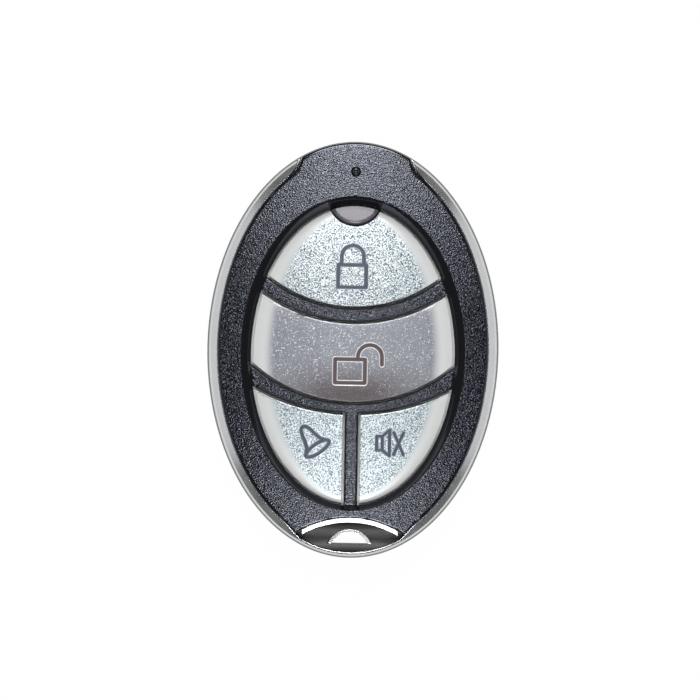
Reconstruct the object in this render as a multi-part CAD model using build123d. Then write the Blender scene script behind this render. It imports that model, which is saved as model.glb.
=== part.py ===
from build123d import *
import os
from math import asin, cos, degrees, radians, sin, sqrt

# An oval garage door remote, lying on its flat back with the buttons up. All sizes are millimetres.
# X runs across the remote, Y along it towards the indicator lens, Z up from the back.
# A cast metal frame goes round the edge and carries the key-ring eye. A front and a rear cover
# sit on a ledge inside it and clamp the circuit board between their screw posts. The front is
# crowned, with a sunken dish for four buttons. Each button stands on a push switch.

# Overall sizes
BODY_WIDTH = 42.0
BODY_LENGTH = 60.0
BODY_HEIGHT = 13.0
CROWN_ACROSS = 80.0
CROWN_ALONG = 170.0

# Clearances
SEAT_GAP = 0.05
FIT_GAP = 0.1
PRESS_TRAVEL = 0.25

# Metal frame
FRAME_FOOT = 0.8
FRAME_RIM = 1.5
SIDE_DRAFT = 0.3
RIM_STEP = 0.3
RIM_FALL = 1.0
RIM_BEVEL = 0.3
FOOT_BEVEL = 0.5
LEDGE_WIDTH = 0.8
LEDGE_LOW = 5.2
LEDGE_THICKNESS = 1.2
SHOULDER_OUTER_X = 8.2
SHOULDER_INNER_X = 9.0
SHOULDER_STEP = 0.35
SHOULDER_STEP_DEPTH = 4.1

# Key-ring eye of the frame, and the insert in its pocket
ARCH_RADIUS = 14.45
ARCH_INSET = 5.8
LIP_WIDTH = 0.6
LIP_HALF_SPAN = 6.9
LIP_STEP = 0.15
EYE_RIM = 0.8
EYE_OUTER_X = 7.2
EYE_INNER_X = 9.2
EYE_SEAT_DEPTH = 4.1
WEB_FOOT = 1.2
POCKET_DEPTH = 2.9
HOLE_RADIUS = 3.0
HOLE_RISE = 1.6
HOLE_INSET = 2.1
BEAD_WIDTH = 0.45
BEAD_STEP = 0.3
INSERT_THICKNESS = 0.7
SCOOP_RADIUS = 3.0

# Front cover
BEZEL_STEP = 0.1
COVER_DEPTH = 3.65
COVER_WALL = 1.2
TAB_THICKNESS = 2.0
TAB_SETBACK = 0.3
SHOULDER_GAP = 0.25
DISH_SHIFT = 0.22
DISH_SIDE_WIDTH = 1.54
DISH_END_WIDTH = 0.97
DISH_DEPTH = 1.3
DISH_FOOT = 0.15
DIMPLE_INSET = 4.4
DIMPLE_DIAMETER = 1.3
DIMPLE_DEPTH = 0.4
PIP_DIAMETER = 0.6
PIP_HEIGHT = 0.3

# Buttons: together they fill an oval zone, split by two arcs and a straight gap
ZONE_Y = -0.8
ZONE_SIDE_INSET = 6.64
ZONE_END_INSET = 8.7
BUTTON_GAP = 0.3
LOCK_EDGE_RISE = 7.02
LOCK_LOWER_RADIUS = 19.7
UPPER_SPLIT = 2.5
UNLOCK_UPPER_RADIUS = 23.2
UNLOCK_DEPTH = 11.2
UNLOCK_LOWER_RADIUS = 21.65
LOWER_SPLIT = 1.9
PAIR_UPPER_RADIUS = 30.3
PAIR_SPLIT = 2.5
BEVEL_ACROSS = 1.9
BEVEL_ALONG = 0.55
BEVEL_FOOT = 0.8
CAP_WALL = 1.2
CAP_THICKNESS = 2.4
CAP_BEVEL = 0.15
FLANGE_REACH = 0.4
FLANGE_THICKNESS = 0.6
FLANGE_GAP = 0.1
STEM_DIAMETER = 3.0

# Indicator lens
LENS_BITE_RADIUS = 3.98
LENS_CENTRE_RISE = 1.24
LENS_GAP = 0.2
LENS_STEP = 0.35
LENS_BEVEL = 0.45
LENS_FLANGE = 0.8
LENS_FLANGE_LENGTH = 2.6
LENS_FLANGE_THICKNESS = 0.6

# Rear cover and its screws
REAR_FLOOR = 1.5
REAR_BEVEL = 0.6
POST_DIAMETER = 3.4
SCREW_SIDE_INSET = 10.5
SCREW_UPPER_INSET = 11.0
SCREW_LOWER_INSET = 10.5
SCREW_DIAMETER = 1.7
SCREW_LENGTH = 7.5
SCREW_TIP_ROOM = 0.3
HEAD_DIAMETER = 3.0
HEAD_HEIGHT = 1.0
HEAD_SINK = 0.3
CROSS_LENGTH = 1.7
CROSS_WIDTH = 0.4
CROSS_DEPTH = 0.6
CELL_RIB_GAP = 0.5
CELL_RIB_WALL = 0.9
CELL_RIB_HEIGHT = 1.2
CELL_RIB_SPAN = 12.0

# Coin cell and its contacts
CELL_DIAMETER = 20.0
CELL_HEIGHT = 3.2
CELL_Y = 0.0
CELL_CAP_DIAMETER = 17.6
CELL_CAP_HEIGHT = 0.25
CLIP_THICKNESS = 0.25
CLIP_WIDTH = 6.0
CLIP_FOOT = 1.4
CONTACT_SPACE = 0.4
CONTACT_LENGTH = 9.0
CONTACT_WIDTH = 6.0
CONTACT_THICKNESS = 0.2
CONTACT_BUMP = 2.4

# Circuit board
BOARD_THICKNESS = 1.0
BOARD_GAP = 0.3
ANTENNA_INSET = 6.9
ANTENNA_WIDTH = 1.0
ANTENNA_RUNS = 16
ANTENNA_THICKNESS = 0.1
ANTENNA_END_Y = 2.0

# Push switches
SWITCH_LENGTH = 6.0
SWITCH_WIDTH = 3.6
SWITCH_BASE_HEIGHT = 1.5
SWITCH_PLATE = 0.2
SWITCH_CLAW_WIDTH = 2.0
SWITCH_CLAW_HEIGHT = 1.0
PLUNGER_RISE = 0.8
PLUNGER_LENGTH = 2.4
PLUNGER_WIDTH = 1.2
PLUNGER_COLLAR = 0.4
PLUNGER_COLLAR_HEIGHT = 0.4
WELL_ROOM = 0.2
TERMINAL_WIDTH = 0.6
TERMINAL_THICKNESS = 0.2
TERMINAL_HEIGHT = 0.8
TERMINAL_FOOT = 0.7
TERMINAL_SPACING = 2.2
STEM_GAP = 0.05
LOCK_SWITCH_SHIFT = 0.61
UNLOCK_SWITCH_SHIFT = -0.12
PAIR_SWITCH_SHIFT = 1.74
PAIR_SWITCH_INSET = 5.15

# Electronic parts on the board
LED_SETBACK = 2.44
LED_LENGTH = 3.5
LED_WIDTH = 2.8
LED_HEIGHT = 1.6
LED_WINDOW = 2.2
LED_WINDOW_DEPTH = 0.2
CHIP_SIDE_INSET = 12.4
CHIP_Y = 3.4
CHIP_WIDTH = 3.9
CHIP_LENGTH = 4.9
CHIP_HEIGHT = 1.5
CHIP_BEVEL = 0.4
PIN_COUNT = 4
PIN_PITCH = 1.27
PIN_WIDTH = 0.42
PIN_THICKNESS = 0.2
PIN_RISE = 0.9
PIN_FOOT = 0.8
RESONATOR_SIDE_INSET = 12.6
RESONATOR_Y = 4.2
RESONATOR_SIDE = 5.0
RESONATOR_HEIGHT = 1.4
RESONATOR_BRIM = 0.3
RESONATOR_LID = 0.4
TRANSISTOR_X = 5.5
TRANSISTOR_Y = -7.6
TRANSISTOR_LENGTH = 2.9
TRANSISTOR_WIDTH = 1.3
TRANSISTOR_HEIGHT = 1.1
TRANSISTOR_LEG = 0.55
PASSIVE_LENGTH = 2.0
PASSIVE_WIDTH = 1.25
RESISTOR_HEIGHT = 0.5
CAPACITOR_HEIGHT = 0.8
RESISTOR_PLACES = [(-1.6, 4.0), (1.6, 4.0), (-1.6, 6.6), (1.6, 6.6)]
LED_RESISTOR_X = 4.2
LED_RESISTOR_SETBACK = 0.7
CAPACITOR_PLACES = [(-10.0, -7.8), (-7.0, -7.8), (-4.0, -7.8), (9.0, -7.8)]

# Heights and radii worked out from the sizes above
HALF_WIDTH = BODY_WIDTH / 2
HALF_LENGTH = BODY_LENGTH / 2
BEZEL_TOP = BODY_HEIGHT - BEZEL_STEP
RIB_TOP = BEZEL_TOP - DISH_DEPTH
CAP_CEILING = BODY_HEIGHT - CAP_THICKNESS
COVER_UNDERSIDE = BODY_HEIGHT - COVER_DEPTH
SHOULDER_STEP_Z = BODY_HEIGHT - SHOULDER_STEP_DEPTH
EYE_SEAT = BODY_HEIGHT - EYE_SEAT_DEPTH
FLANGE_TOP = COVER_UNDERSIDE - FLANGE_GAP
FLANGE_UNDERSIDE = FLANGE_TOP - FLANGE_THICKNESS
LEDGE_HIGH = LEDGE_LOW + LEDGE_THICKNESS
CLIP_LOW = REAR_FLOOR + SEAT_GAP
CELL_LOW = CLIP_LOW + CLIP_THICKNESS
CELL_HIGH = CELL_LOW + CELL_HEIGHT
BOARD_LOW = CELL_HIGH + CONTACT_SPACE
BOARD_HIGH = BOARD_LOW + BOARD_THICKNESS
PLATE_HIGH = BOARD_HIGH + SWITCH_BASE_HEIGHT + SWITCH_PLATE
PLUNGER_HIGH = PLATE_HIGH + PLUNGER_RISE
LENS_LOW = COVER_UNDERSIDE - SEAT_GAP - LENS_FLANGE_THICKNESS
ARCH_TOP_Y = ARCH_INSET - HALF_LENGTH
ARCH_CENTRE_Y = ARCH_TOP_Y - ARCH_RADIUS
HOLE_FLAT_Y = HOLE_INSET - HALF_LENGTH
HOLE_CENTRE_Y = HOLE_FLAT_Y + HOLE_RISE - HOLE_RADIUS
DIMPLE_Y = HALF_LENGTH - DIMPLE_INSET
ZONE_HALF_WIDTH = HALF_WIDTH - ZONE_SIDE_INSET
ZONE_HALF_LENGTH = HALF_LENGTH - ZONE_END_INSET
ZONE_UPPER_Y = ZONE_Y + ZONE_HALF_LENGTH
ZONE_LOWER_Y = ZONE_Y - ZONE_HALF_LENGTH
DISH_Y = ZONE_Y + DISH_SHIFT
DISH_HALF_WIDTH = ZONE_HALF_WIDTH + BUTTON_GAP + DISH_SIDE_WIDTH
DISH_HALF_LENGTH = ZONE_HALF_LENGTH + BUTTON_GAP + DISH_END_WIDTH
LOCK_EDGE_Y = ZONE_Y + LOCK_EDGE_RISE
UNLOCK_EDGE_Y = LOCK_EDGE_Y - UPPER_SPLIT
PAIR_EDGE_Y = UNLOCK_EDGE_Y - UNLOCK_DEPTH - LOWER_SPLIT
LENS_CENTRE_Y = ZONE_UPPER_Y + LENS_CENTRE_RISE
LOCK_SWITCH_Y = (LOCK_EDGE_Y + LENS_CENTRE_Y - LENS_BITE_RADIUS) / 2 + LOCK_SWITCH_SHIFT
UNLOCK_SWITCH_Y = UNLOCK_EDGE_Y - UNLOCK_DEPTH / 2 + UNLOCK_SWITCH_SHIFT
PAIR_SWITCH_X = PAIR_SPLIT / 2 + PAIR_SWITCH_INSET
PAIR_SWITCH_Y = (PAIR_EDGE_Y + ZONE_LOWER_Y) / 2 + PAIR_SWITCH_SHIFT
SCREW_X = HALF_WIDTH - SCREW_SIDE_INSET
SCREW_UPPER_Y = HALF_LENGTH - SCREW_UPPER_INSET
SCREW_LOWER_Y = SCREW_LOWER_INSET - HALF_LENGTH
LED_Y = LENS_CENTRE_Y - LED_SETBACK
CHIP_X = CHIP_SIDE_INSET - HALF_WIDTH
RESONATOR_X = HALF_WIDTH - RESONATOR_SIDE_INSET
REACH = max(HALF_WIDTH, HALF_LENGTH)


def crown_drop(x, y):
    """How far the crowned front lies below its highest point at x, y."""
    across = CROWN_ALONG - CROWN_ACROSS + sqrt(CROWN_ACROSS**2 - x**2)
    return CROWN_ALONG - sqrt(across**2 - y**2)


RIM_INNER_Z = BEZEL_TOP - crown_drop(HALF_WIDTH - FRAME_RIM, 0) - RIM_STEP
RIM_OUTER_Z = RIM_INNER_Z - RIM_FALL
TAB_SEAT = BEZEL_TOP - crown_drop(0, HALF_LENGTH) - TAB_THICKNESS
WEB_TOP = RIM_INNER_Z - POCKET_DEPTH
SCOOP_FLOOR = WEB_TOP + SEAT_GAP + INSERT_THICKNESS


def crown(apex):
    """A block that fills everything under the crowned surface with its highest point at apex."""
    side = HALF_WIDTH + FRAME_RIM
    low = -BODY_HEIGHT
    edge = apex - crown_drop(side, 0)
    outline = ThreePointArc((-side, edge), (0, apex), (side, edge))
    outline += Polyline((side, edge), (side, low), (-side, low), (-side, edge))
    half_turn = degrees(asin((HALF_LENGTH + FRAME_RIM) / (CROWN_ALONG - BODY_HEIGHT)))
    hinge = Axis((0, 0, apex - CROWN_ALONG), (1, 0, 0))
    section = (Plane.XZ * make_face(outline)).rotate(hinge, -half_turn)
    return revolve(section, hinge, 2 * half_turn)


def prism(outline, low, high):
    """The outline, drawn on the XY plane, as a straight block from low to high."""
    return extrude(Pos(0, 0, low) * outline, high - low)


def under_crown(outline, low, apex):
    """The outline as a block from low up to the crowned surface."""
    return prism(outline, low, apex + 1) & crown(apex)


def body_oval(inset):
    """The remote's oval, drawn in by the inset."""
    return Ellipse(HALF_WIDTH - inset, HALF_LENGTH - inset)


def body_oval_y(inset, x):
    """How far along the remote its oval, drawn in by the inset, lies at x."""
    return (HALF_LENGTH - inset) * sqrt(1 - (x / (HALF_WIDTH - inset)) ** 2)


def zone_oval(grow):
    """The buttons' oval, let out by grow."""
    return Pos(0, ZONE_Y) * Ellipse(ZONE_HALF_WIDTH + grow, ZONE_HALF_LENGTH + grow)


def disc(radius, y):
    """A full circle on the middle line."""
    return Pos(0, y) * Circle(radius)


def box_on(x, y, low, length, width, height):
    """A box centred at x, y that stands on the height low."""
    return Pos(x, y, low) * Box(length, width, height, align=(Align.CENTER, Align.CENTER, Align.MIN))


def rod_on(x, y, low, diameter, height):
    """An upright rod that stands on the height low."""
    rod = Cylinder(diameter / 2, height, align=(Align.CENTER, Align.CENTER, Align.MIN))
    return Pos(x, y, low) * rod


def oval_frustum(low_oval, low_z, high_oval, high_z, from_z, to_z):
    """A tapered block through two ovals, each given as its half width, half length and middle."""

    def oval_at(z):
        share = (z - low_z) / (high_z - low_z)
        half_x, half_y, middle_y = [low + share * (high - low) for low, high in zip(low_oval, high_oval)]
        return Pos(0, middle_y, z) * Ellipse(half_x, half_y)

    return loft([oval_at(from_z), oval_at(to_z)], ruled=True)


def flared_strip(outer_x, outer_inset, inner_x, inner_inset, side):
    """A strip over one end of the oval. Its sides pass through a point on each of two ovals."""
    outer_y = body_oval_y(outer_inset, outer_x)
    inner_y = body_oval_y(inner_inset, inner_x)
    slope = (inner_x - outer_x) / (outer_y - inner_y)
    far_y = HALF_LENGTH + FRAME_RIM
    near_y = inner_y - FRAME_RIM
    far_x = outer_x - slope * (far_y - outer_y)
    near_x = inner_x + slope * (inner_y - near_y)
    corners = [(-near_x, side * near_y), (near_x, side * near_y)]
    corners += [(far_x, side * far_y), (-far_x, side * far_y)]
    return make_face(Polyline(*corners, close=True))


def tab_strip(grow):
    """A strip over the upper end, between the frame's two shoulders."""
    return flared_strip(SHOULDER_OUTER_X + grow, 0, SHOULDER_INNER_X + grow, FRAME_RIM, 1)


def case_outline(inset):
    """Plan of both covers: the oval drawn in by the inset, with the key-ring arch left free."""
    arch_gap = inset - FRAME_RIM
    return body_oval(inset) - disc(ARCH_RADIUS + arch_gap, ARCH_CENTRE_Y)


def lock_outline(grow):
    lower_edge = disc(LOCK_LOWER_RADIUS + grow, LOCK_EDGE_Y + LOCK_LOWER_RADIUS)
    return zone_oval(grow) & lower_edge


def unlock_outline(grow):
    upper_edge = disc(UNLOCK_UPPER_RADIUS - grow, UNLOCK_EDGE_Y + UNLOCK_UPPER_RADIUS)
    lower_y = UNLOCK_EDGE_Y - UNLOCK_DEPTH
    lower_edge = disc(UNLOCK_LOWER_RADIUS + grow, lower_y + UNLOCK_LOWER_RADIUS)
    return (zone_oval(grow) & lower_edge) - upper_edge


def pair_outline(grow, side):
    """The bell button's outline with side -1, the mute button's with side 1."""
    upper_edge = disc(PAIR_UPPER_RADIUS - grow, PAIR_EDGE_Y + PAIR_UPPER_RADIUS)
    inner_x = PAIR_SPLIT / 2 - grow
    half = Pos(side * (inner_x + REACH / 2), PAIR_EDGE_Y) * Rectangle(REACH, 2 * REACH)
    return (zone_oval(grow) - upper_edge) & half


def lens_circle(grow):
    return disc(LENS_BITE_RADIUS - LENS_GAP + grow, LENS_CENTRE_Y)


def lens_flange_outline(grow):
    """Plan of the lens's tongue, which lies under the cover beyond the buttons' opening."""
    middle_y = ZONE_UPPER_Y + LENS_FLANGE_LENGTH / 2
    tongue = Pos(0, middle_y) * Rectangle(REACH, LENS_FLANGE_LENGTH + 2 * grow)
    return lens_circle(LENS_FLANGE + grow) & tongue


BUTTON_OUTLINES = {
    "lock": lock_outline,
    "unlock": unlock_outline,
    "bell": lambda grow: pair_outline(grow, -1),
    "mute": lambda grow: pair_outline(grow, 1),
}
SWITCH_PLACES = {
    "lock": (0, LOCK_SWITCH_Y),
    "unlock": (0, UNLOCK_SWITCH_Y),
    "bell": (-PAIR_SWITCH_X, PAIR_SWITCH_Y),
    "mute": (PAIR_SWITCH_X, PAIR_SWITCH_Y),
}
LED_RESISTOR_PLACE = (LED_RESISTOR_X, LED_Y - LED_RESISTOR_SETBACK)
SCREW_PLACES = [(side * SCREW_X, y) for y in (SCREW_UPPER_Y, SCREW_LOWER_Y) for side in (-1, 1)]


def frame_blank():
    """The frame's outer form: a side wall drafted to a parting line, and a sloping rim face on top."""
    middle_z = (FRAME_FOOT + RIM_OUTER_Z) / 2
    sections = [(FRAME_FOOT, SIDE_DRAFT), (middle_z, 0.0), (RIM_OUTER_Z, SIDE_DRAFT)]
    side_wall = loft([Pos(0, 0, z) * body_oval(inset) for z, inset in sections], ruled=True)
    rim_foot = Pos(0, 0, RIM_OUTER_Z) * body_oval(SIDE_DRAFT)
    rim_head = Pos(0, 0, RIM_INNER_Z) * body_oval(FRAME_RIM)
    blank = side_wall + loft([rim_foot, rim_head], ruled=True)
    foot_edge = blank.edges().group_by(Axis.Z)[0]
    blank = chamfer(foot_edge, FOOT_BEVEL)
    rim_edge = [edge for edge in blank.edges() if abs(edge.center().Z - RIM_OUTER_Z) < SEAT_GAP]
    return chamfer(rim_edge, RIM_BEVEL)


def eye_recess_outline(grow):
    """Plan of the thinned stretch of the rim at the lower end."""
    ends = flared_strip(EYE_OUTER_X + grow, EYE_RIM, EYE_INNER_X + grow, FRAME_RIM, -1)
    return body_oval(EYE_RIM - grow) & ends


def eye_pocket_outline(grow):
    """Plan of the key-ring pocket: an eye between the arch and the thinned rim."""
    return eye_recess_outline(grow) & disc(ARCH_RADIUS + grow, ARCH_CENTRE_Y)


def arch_lip_outline(grow):
    """Plan of the thin bright arch over the pocket."""
    band = disc(ARCH_RADIUS + grow, ARCH_CENTRE_Y)
    band -= disc(ARCH_RADIUS - LIP_WIDTH - grow, ARCH_CENTRE_Y)
    span = Pos(0, ARCH_TOP_Y) * Rectangle(2 * (LIP_HALF_SPAN + grow), 2 * ARCH_RADIUS)
    return band & span


def hole_outline(grow):
    """Plan of the key-ring hole: a half moon with its flat side towards the rim."""
    above_flat = Pos(0, HOLE_FLAT_Y + HOLE_RADIUS) * Rectangle(4 * HOLE_RADIUS, 2 * HOLE_RADIUS)
    return disc(HOLE_RADIUS + grow, HOLE_CENTRE_Y) & above_flat


def make_metal_frame():
    frame = frame_blank()
    frame -= prism(body_oval(FRAME_RIM), LEDGE_HIGH, BODY_HEIGHT)
    frame -= prism(body_oval(FRAME_RIM), 0, LEDGE_LOW)
    frame -= prism(body_oval(FRAME_RIM + LEDGE_WIDTH), 0, BODY_HEIGHT)
    frame -= prism(tab_strip(0), SHOULDER_STEP_Z, BODY_HEIGHT)
    frame -= prism(tab_strip(-SHOULDER_STEP), TAB_SEAT, BODY_HEIGHT)
    web = disc(ARCH_RADIUS, ARCH_CENTRE_Y) & body_oval(FRAME_RIM / 2)
    frame += prism(web, WEB_FOOT, WEB_TOP)
    frame -= prism(eye_recess_outline(0), EYE_SEAT, BODY_HEIGHT)
    frame -= prism(eye_pocket_outline(0), WEB_TOP, BODY_HEIGHT)
    lip_foot = arch_lip_outline(0) & body_oval(FRAME_RIM / 2)
    frame += under_crown(lip_foot, WEB_TOP, BEZEL_TOP - LIP_STEP)
    frame += prism(hole_outline(BEAD_WIDTH) - hole_outline(0), WEB_TOP, SCOOP_FLOOR + BEAD_STEP)
    return frame - prism(hole_outline(0), 0, BODY_HEIGHT)


def make_keyring_insert():
    plan = eye_pocket_outline(-FIT_GAP) - arch_lip_outline(FIT_GAP) - hole_outline(BEAD_WIDTH + FIT_GAP)
    plan -= hole_outline(0)
    block = prism(plan, WEB_TOP + SEAT_GAP, RIM_INNER_Z)
    scoop_y = (ARCH_TOP_Y - LIP_WIDTH - HALF_LENGTH + EYE_RIM) / 2
    scoop = Cylinder(SCOOP_RADIUS, BODY_WIDTH, rotation=(0, 90, 0))
    return block - Pos(0, scoop_y, SCOOP_FLOOR + SCOOP_RADIUS) * scoop


def make_front_cover():
    low = LEDGE_HIGH + SEAT_GAP
    cover = under_crown(case_outline(FRAME_RIM + FIT_GAP), low, BEZEL_TOP)
    skirt = body_oval(FRAME_RIM + COVER_WALL)
    tab = body_oval(TAB_SETBACK) & tab_strip(-SHOULDER_STEP - SHOULDER_GAP)
    cover += under_crown(tab - skirt, TAB_SEAT + SEAT_GAP, BEZEL_TOP)
    horns = eye_recess_outline(-FIT_GAP) - disc(ARCH_RADIUS + FIT_GAP, ARCH_CENTRE_Y)
    cover += under_crown(horns - skirt, EYE_SEAT + SEAT_GAP, BEZEL_TOP)
    cover -= prism(case_outline(FRAME_RIM + FIT_GAP + COVER_WALL), 0, COVER_UNDERSIDE)
    post_low = BOARD_HIGH + SEAT_GAP
    for x, y in SCREW_PLACES:
        cover += rod_on(x, y, post_low, POST_DIAMETER, COVER_UNDERSIDE - post_low)
    pilot_top = REAR_FLOOR - HEAD_SINK + SCREW_LENGTH + SCREW_TIP_ROOM
    for x, y in SCREW_PLACES:
        cover -= rod_on(x, y, 0, SCREW_DIAMETER + 2 * SEAT_GAP, pilot_top)

    rim_z = BEZEL_TOP - (crown_drop(DISH_HALF_WIDTH, 0) + crown_drop(0, DISH_HALF_LENGTH)) / 2
    foot = (ZONE_HALF_WIDTH + BUTTON_GAP, ZONE_HALF_LENGTH + BUTTON_GAP, ZONE_Y)
    foot_z = RIB_TOP - crown_drop(foot[0], 0) + DISH_FOOT
    rim = (DISH_HALF_WIDTH, DISH_HALF_LENGTH, DISH_Y)
    dish = oval_frustum(foot, foot_z, rim, rim_z, foot_z - DISH_DEPTH, BODY_HEIGHT)
    cover -= dish - crown(RIB_TOP)
    for outline in BUTTON_OUTLINES.values():
        cover -= prism(outline(BUTTON_GAP), LEDGE_HIGH, BODY_HEIGHT)

    dimple_z = BEZEL_TOP - crown_drop(0, DIMPLE_Y) - DIMPLE_DEPTH
    cover -= rod_on(0, DIMPLE_Y, dimple_z, DIMPLE_DIAMETER, BODY_HEIGHT)
    cover += rod_on(0, DIMPLE_Y, dimple_z, PIP_DIAMETER, PIP_HEIGHT)
    return cover


def make_button(name):
    """One cap: bevelled along the oval, hollow below, with a retaining flange and a stem."""
    outline = BUTTON_OUTLINES[name]
    lens_bite = lens_circle(LENS_GAP)
    plan = outline(0) - lens_bite
    edge = (ZONE_HALF_WIDTH, ZONE_HALF_LENGTH, ZONE_Y)
    edge_z = RIB_TOP - crown_drop(ZONE_HALF_WIDTH, 0) + BEVEL_FOOT
    inner = (ZONE_HALF_WIDTH - BEVEL_ACROSS, ZONE_HALF_LENGTH - BEVEL_ALONG, ZONE_Y)
    inner_z = BODY_HEIGHT - crown_drop(inner[0], 0)
    bevel = oval_frustum(edge, edge_z, inner, inner_z, edge_z, BODY_HEIGHT)
    cap = under_crown(plan, FLANGE_UNDERSIDE, BODY_HEIGHT) & (bevel + prism(zone_oval(0), 0, edge_z))
    top_face = cap.faces().sort_by(Axis.Z)[-1]
    cap = chamfer(top_face.edges(), CAP_BEVEL)

    flange_plan = outline(BUTTON_GAP + FLANGE_REACH) - lens_flange_outline(LENS_GAP) - lens_bite
    flange = prism(flange_plan, FLANGE_UNDERSIDE, FLANGE_TOP)
    hollow = outline(-CAP_WALL) - lens_circle(LENS_GAP + CAP_WALL)
    body = cap + flange - prism(hollow, FLANGE_UNDERSIDE, CAP_CEILING)

    x, y = SWITCH_PLACES[name]
    stem_low = PLUNGER_HIGH + STEM_GAP
    return body + rod_on(x, y, stem_low, STEM_DIAMETER, CAP_CEILING - stem_low)


def make_indicator_lens():
    window = lens_circle(0) & zone_oval(BUTTON_GAP - FIT_GAP)
    lens = under_crown(window, LENS_LOW, BODY_HEIGHT - LENS_STEP)
    top_face = lens.faces().sort_by(Axis.Z)[-1]
    lower_arc = top_face.edges().sort_by(Axis.Y)[0]
    lens = chamfer(lower_arc, LENS_BEVEL)
    tongue = lens_flange_outline(0) - zone_oval(BUTTON_GAP - FIT_GAP - SEAT_GAP)
    return lens + prism(tongue, LENS_LOW, LENS_LOW + LENS_FLANGE_THICKNESS)


def make_rear_cover():
    top = LEDGE_LOW - SEAT_GAP
    cover = prism(case_outline(FRAME_RIM + FIT_GAP), 0, top)
    cover = chamfer(cover.faces().sort_by(Axis.Z)[0].edges(), REAR_BEVEL)
    cover -= prism(case_outline(FRAME_RIM + FIT_GAP + COVER_WALL), REAR_FLOOR, top)
    rib_radius = CELL_DIAMETER / 2 + CLIP_THICKNESS + CELL_RIB_GAP
    ring = disc(rib_radius + CELL_RIB_WALL, CELL_Y) - disc(rib_radius, CELL_Y)
    ribs = ring & (Pos(0, CELL_Y) * Rectangle(CELL_RIB_SPAN, BODY_LENGTH))
    cover += prism(ribs, REAR_FLOOR, REAR_FLOOR + CELL_RIB_HEIGHT)
    for x, y in SCREW_PLACES:
        cover += rod_on(x, y, REAR_FLOOR, POST_DIAMETER, BOARD_LOW - SEAT_GAP - REAR_FLOOR)
        cover -= rod_on(x, y, 0, SCREW_DIAMETER + 2 * FIT_GAP, BOARD_LOW)
        cover -= rod_on(x, y, 0, HEAD_DIAMETER + 2 * FIT_GAP, HEAD_HEIGHT + HEAD_SINK)
    return cover


def make_case_screws():
    """Four self-tapping screws as one group of separate solids, heads down in the back."""
    screws = []
    for x, y in SCREW_PLACES:
        head = rod_on(0, 0, HEAD_SINK, HEAD_DIAMETER, HEAD_HEIGHT)
        for turn in (0, 90):
            slot = box_on(0, 0, HEAD_SINK, CROSS_LENGTH, CROSS_WIDTH, CROSS_DEPTH)
            head -= slot.rotate(Axis.Z, turn)
        shank = rod_on(0, 0, HEAD_SINK + HEAD_HEIGHT, SCREW_DIAMETER, SCREW_LENGTH)
        screws.append(Pos(x, y) * (head + shank))
    return Compound(children=screws)


def make_circuit_board():
    wall_gap = FRAME_RIM + FIT_GAP + COVER_WALL + BOARD_GAP
    board = prism(case_outline(wall_gap), BOARD_LOW, BOARD_HIGH)
    for x, y in SCREW_PLACES:
        board -= rod_on(x, y, 0, SCREW_DIAMETER + 2 * FIT_GAP, BODY_HEIGHT)
    return board


def make_antenna_track():
    """A copper line of short straight runs, round the upper end of the board."""
    half_x = HALF_WIDTH - ANTENNA_INSET
    half_y = HALF_LENGTH - ANTENNA_INSET
    angles = [radians(360 * (step + 0.5) / ANTENNA_RUNS) for step in range(ANTENNA_RUNS)]
    corners = [(half_x * cos(angle), half_y * sin(angle)) for angle in angles]
    outline = make_face(Polyline(*corners, close=True))
    loop = outline - offset(outline, -ANTENNA_WIDTH, kind=Kind.INTERSECTION)
    upper = Pos(0, ANTENNA_END_Y + REACH / 2) * Rectangle(2 * REACH, REACH)
    return prism(loop & upper, BOARD_HIGH, BOARD_HIGH + ANTENNA_THICKNESS)


def make_coin_cell():
    can = rod_on(0, CELL_Y, CELL_LOW, CELL_DIAMETER, CELL_HEIGHT - CELL_CAP_HEIGHT)
    return can + rod_on(0, CELL_Y, CELL_HIGH - CELL_CAP_HEIGHT, CELL_CAP_DIAMETER, CELL_CAP_HEIGHT)


def make_battery_clip():
    """A bent strap under the cell, with a leg up each side and feet soldered below the board."""
    inner = CELL_DIAMETER / 2 + FIT_GAP
    outer = inner + CLIP_THICKNESS
    foot = outer + CLIP_FOOT
    foot_low = BOARD_LOW - CLIP_THICKNESS
    path = [(-foot, BOARD_LOW), (-inner, BOARD_LOW), (-inner, CELL_LOW), (inner, CELL_LOW)]
    path += [(inner, BOARD_LOW), (foot, BOARD_LOW), (foot, foot_low), (outer, foot_low)]
    path += [(outer, CLIP_LOW), (-outer, CLIP_LOW), (-outer, foot_low), (-foot, foot_low)]
    profile = Plane.XZ * make_face(Polyline(*path, close=True))
    return Pos(0, CELL_Y) * extrude(profile, CLIP_WIDTH / 2, both=True)


def make_cell_contact():
    """A plate under the board with a pressed bump over the cell's cap."""
    plate_low = BOARD_LOW - CONTACT_THICKNESS
    plate = box_on(0, CELL_Y, plate_low, CONTACT_WIDTH, CONTACT_LENGTH, CONTACT_THICKNESS)
    bump_low = CELL_HIGH + SEAT_GAP
    return plate + box_on(0, CELL_Y, bump_low, CONTACT_BUMP, CONTACT_BUMP, plate_low - bump_low)


def plunger_collar(gap):
    length = PLUNGER_LENGTH + 2 * (PLUNGER_COLLAR + gap)
    width = PLUNGER_WIDTH + 2 * (PLUNGER_COLLAR + gap)
    return Rectangle(length, width)


def make_switch_base(name):
    x, y = SWITCH_PLACES[name]
    base = box_on(0, 0, BOARD_HIGH, SWITCH_LENGTH, SWITCH_WIDTH, SWITCH_BASE_HEIGHT)
    well_depth = PLUNGER_COLLAR_HEIGHT + SEAT_GAP + PRESS_TRAVEL + WELL_ROOM
    base_top = BOARD_HIGH + SWITCH_BASE_HEIGHT
    base -= prism(plunger_collar(FIT_GAP), base_top - well_depth, base_top)
    return Pos(x, y) * base


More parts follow.
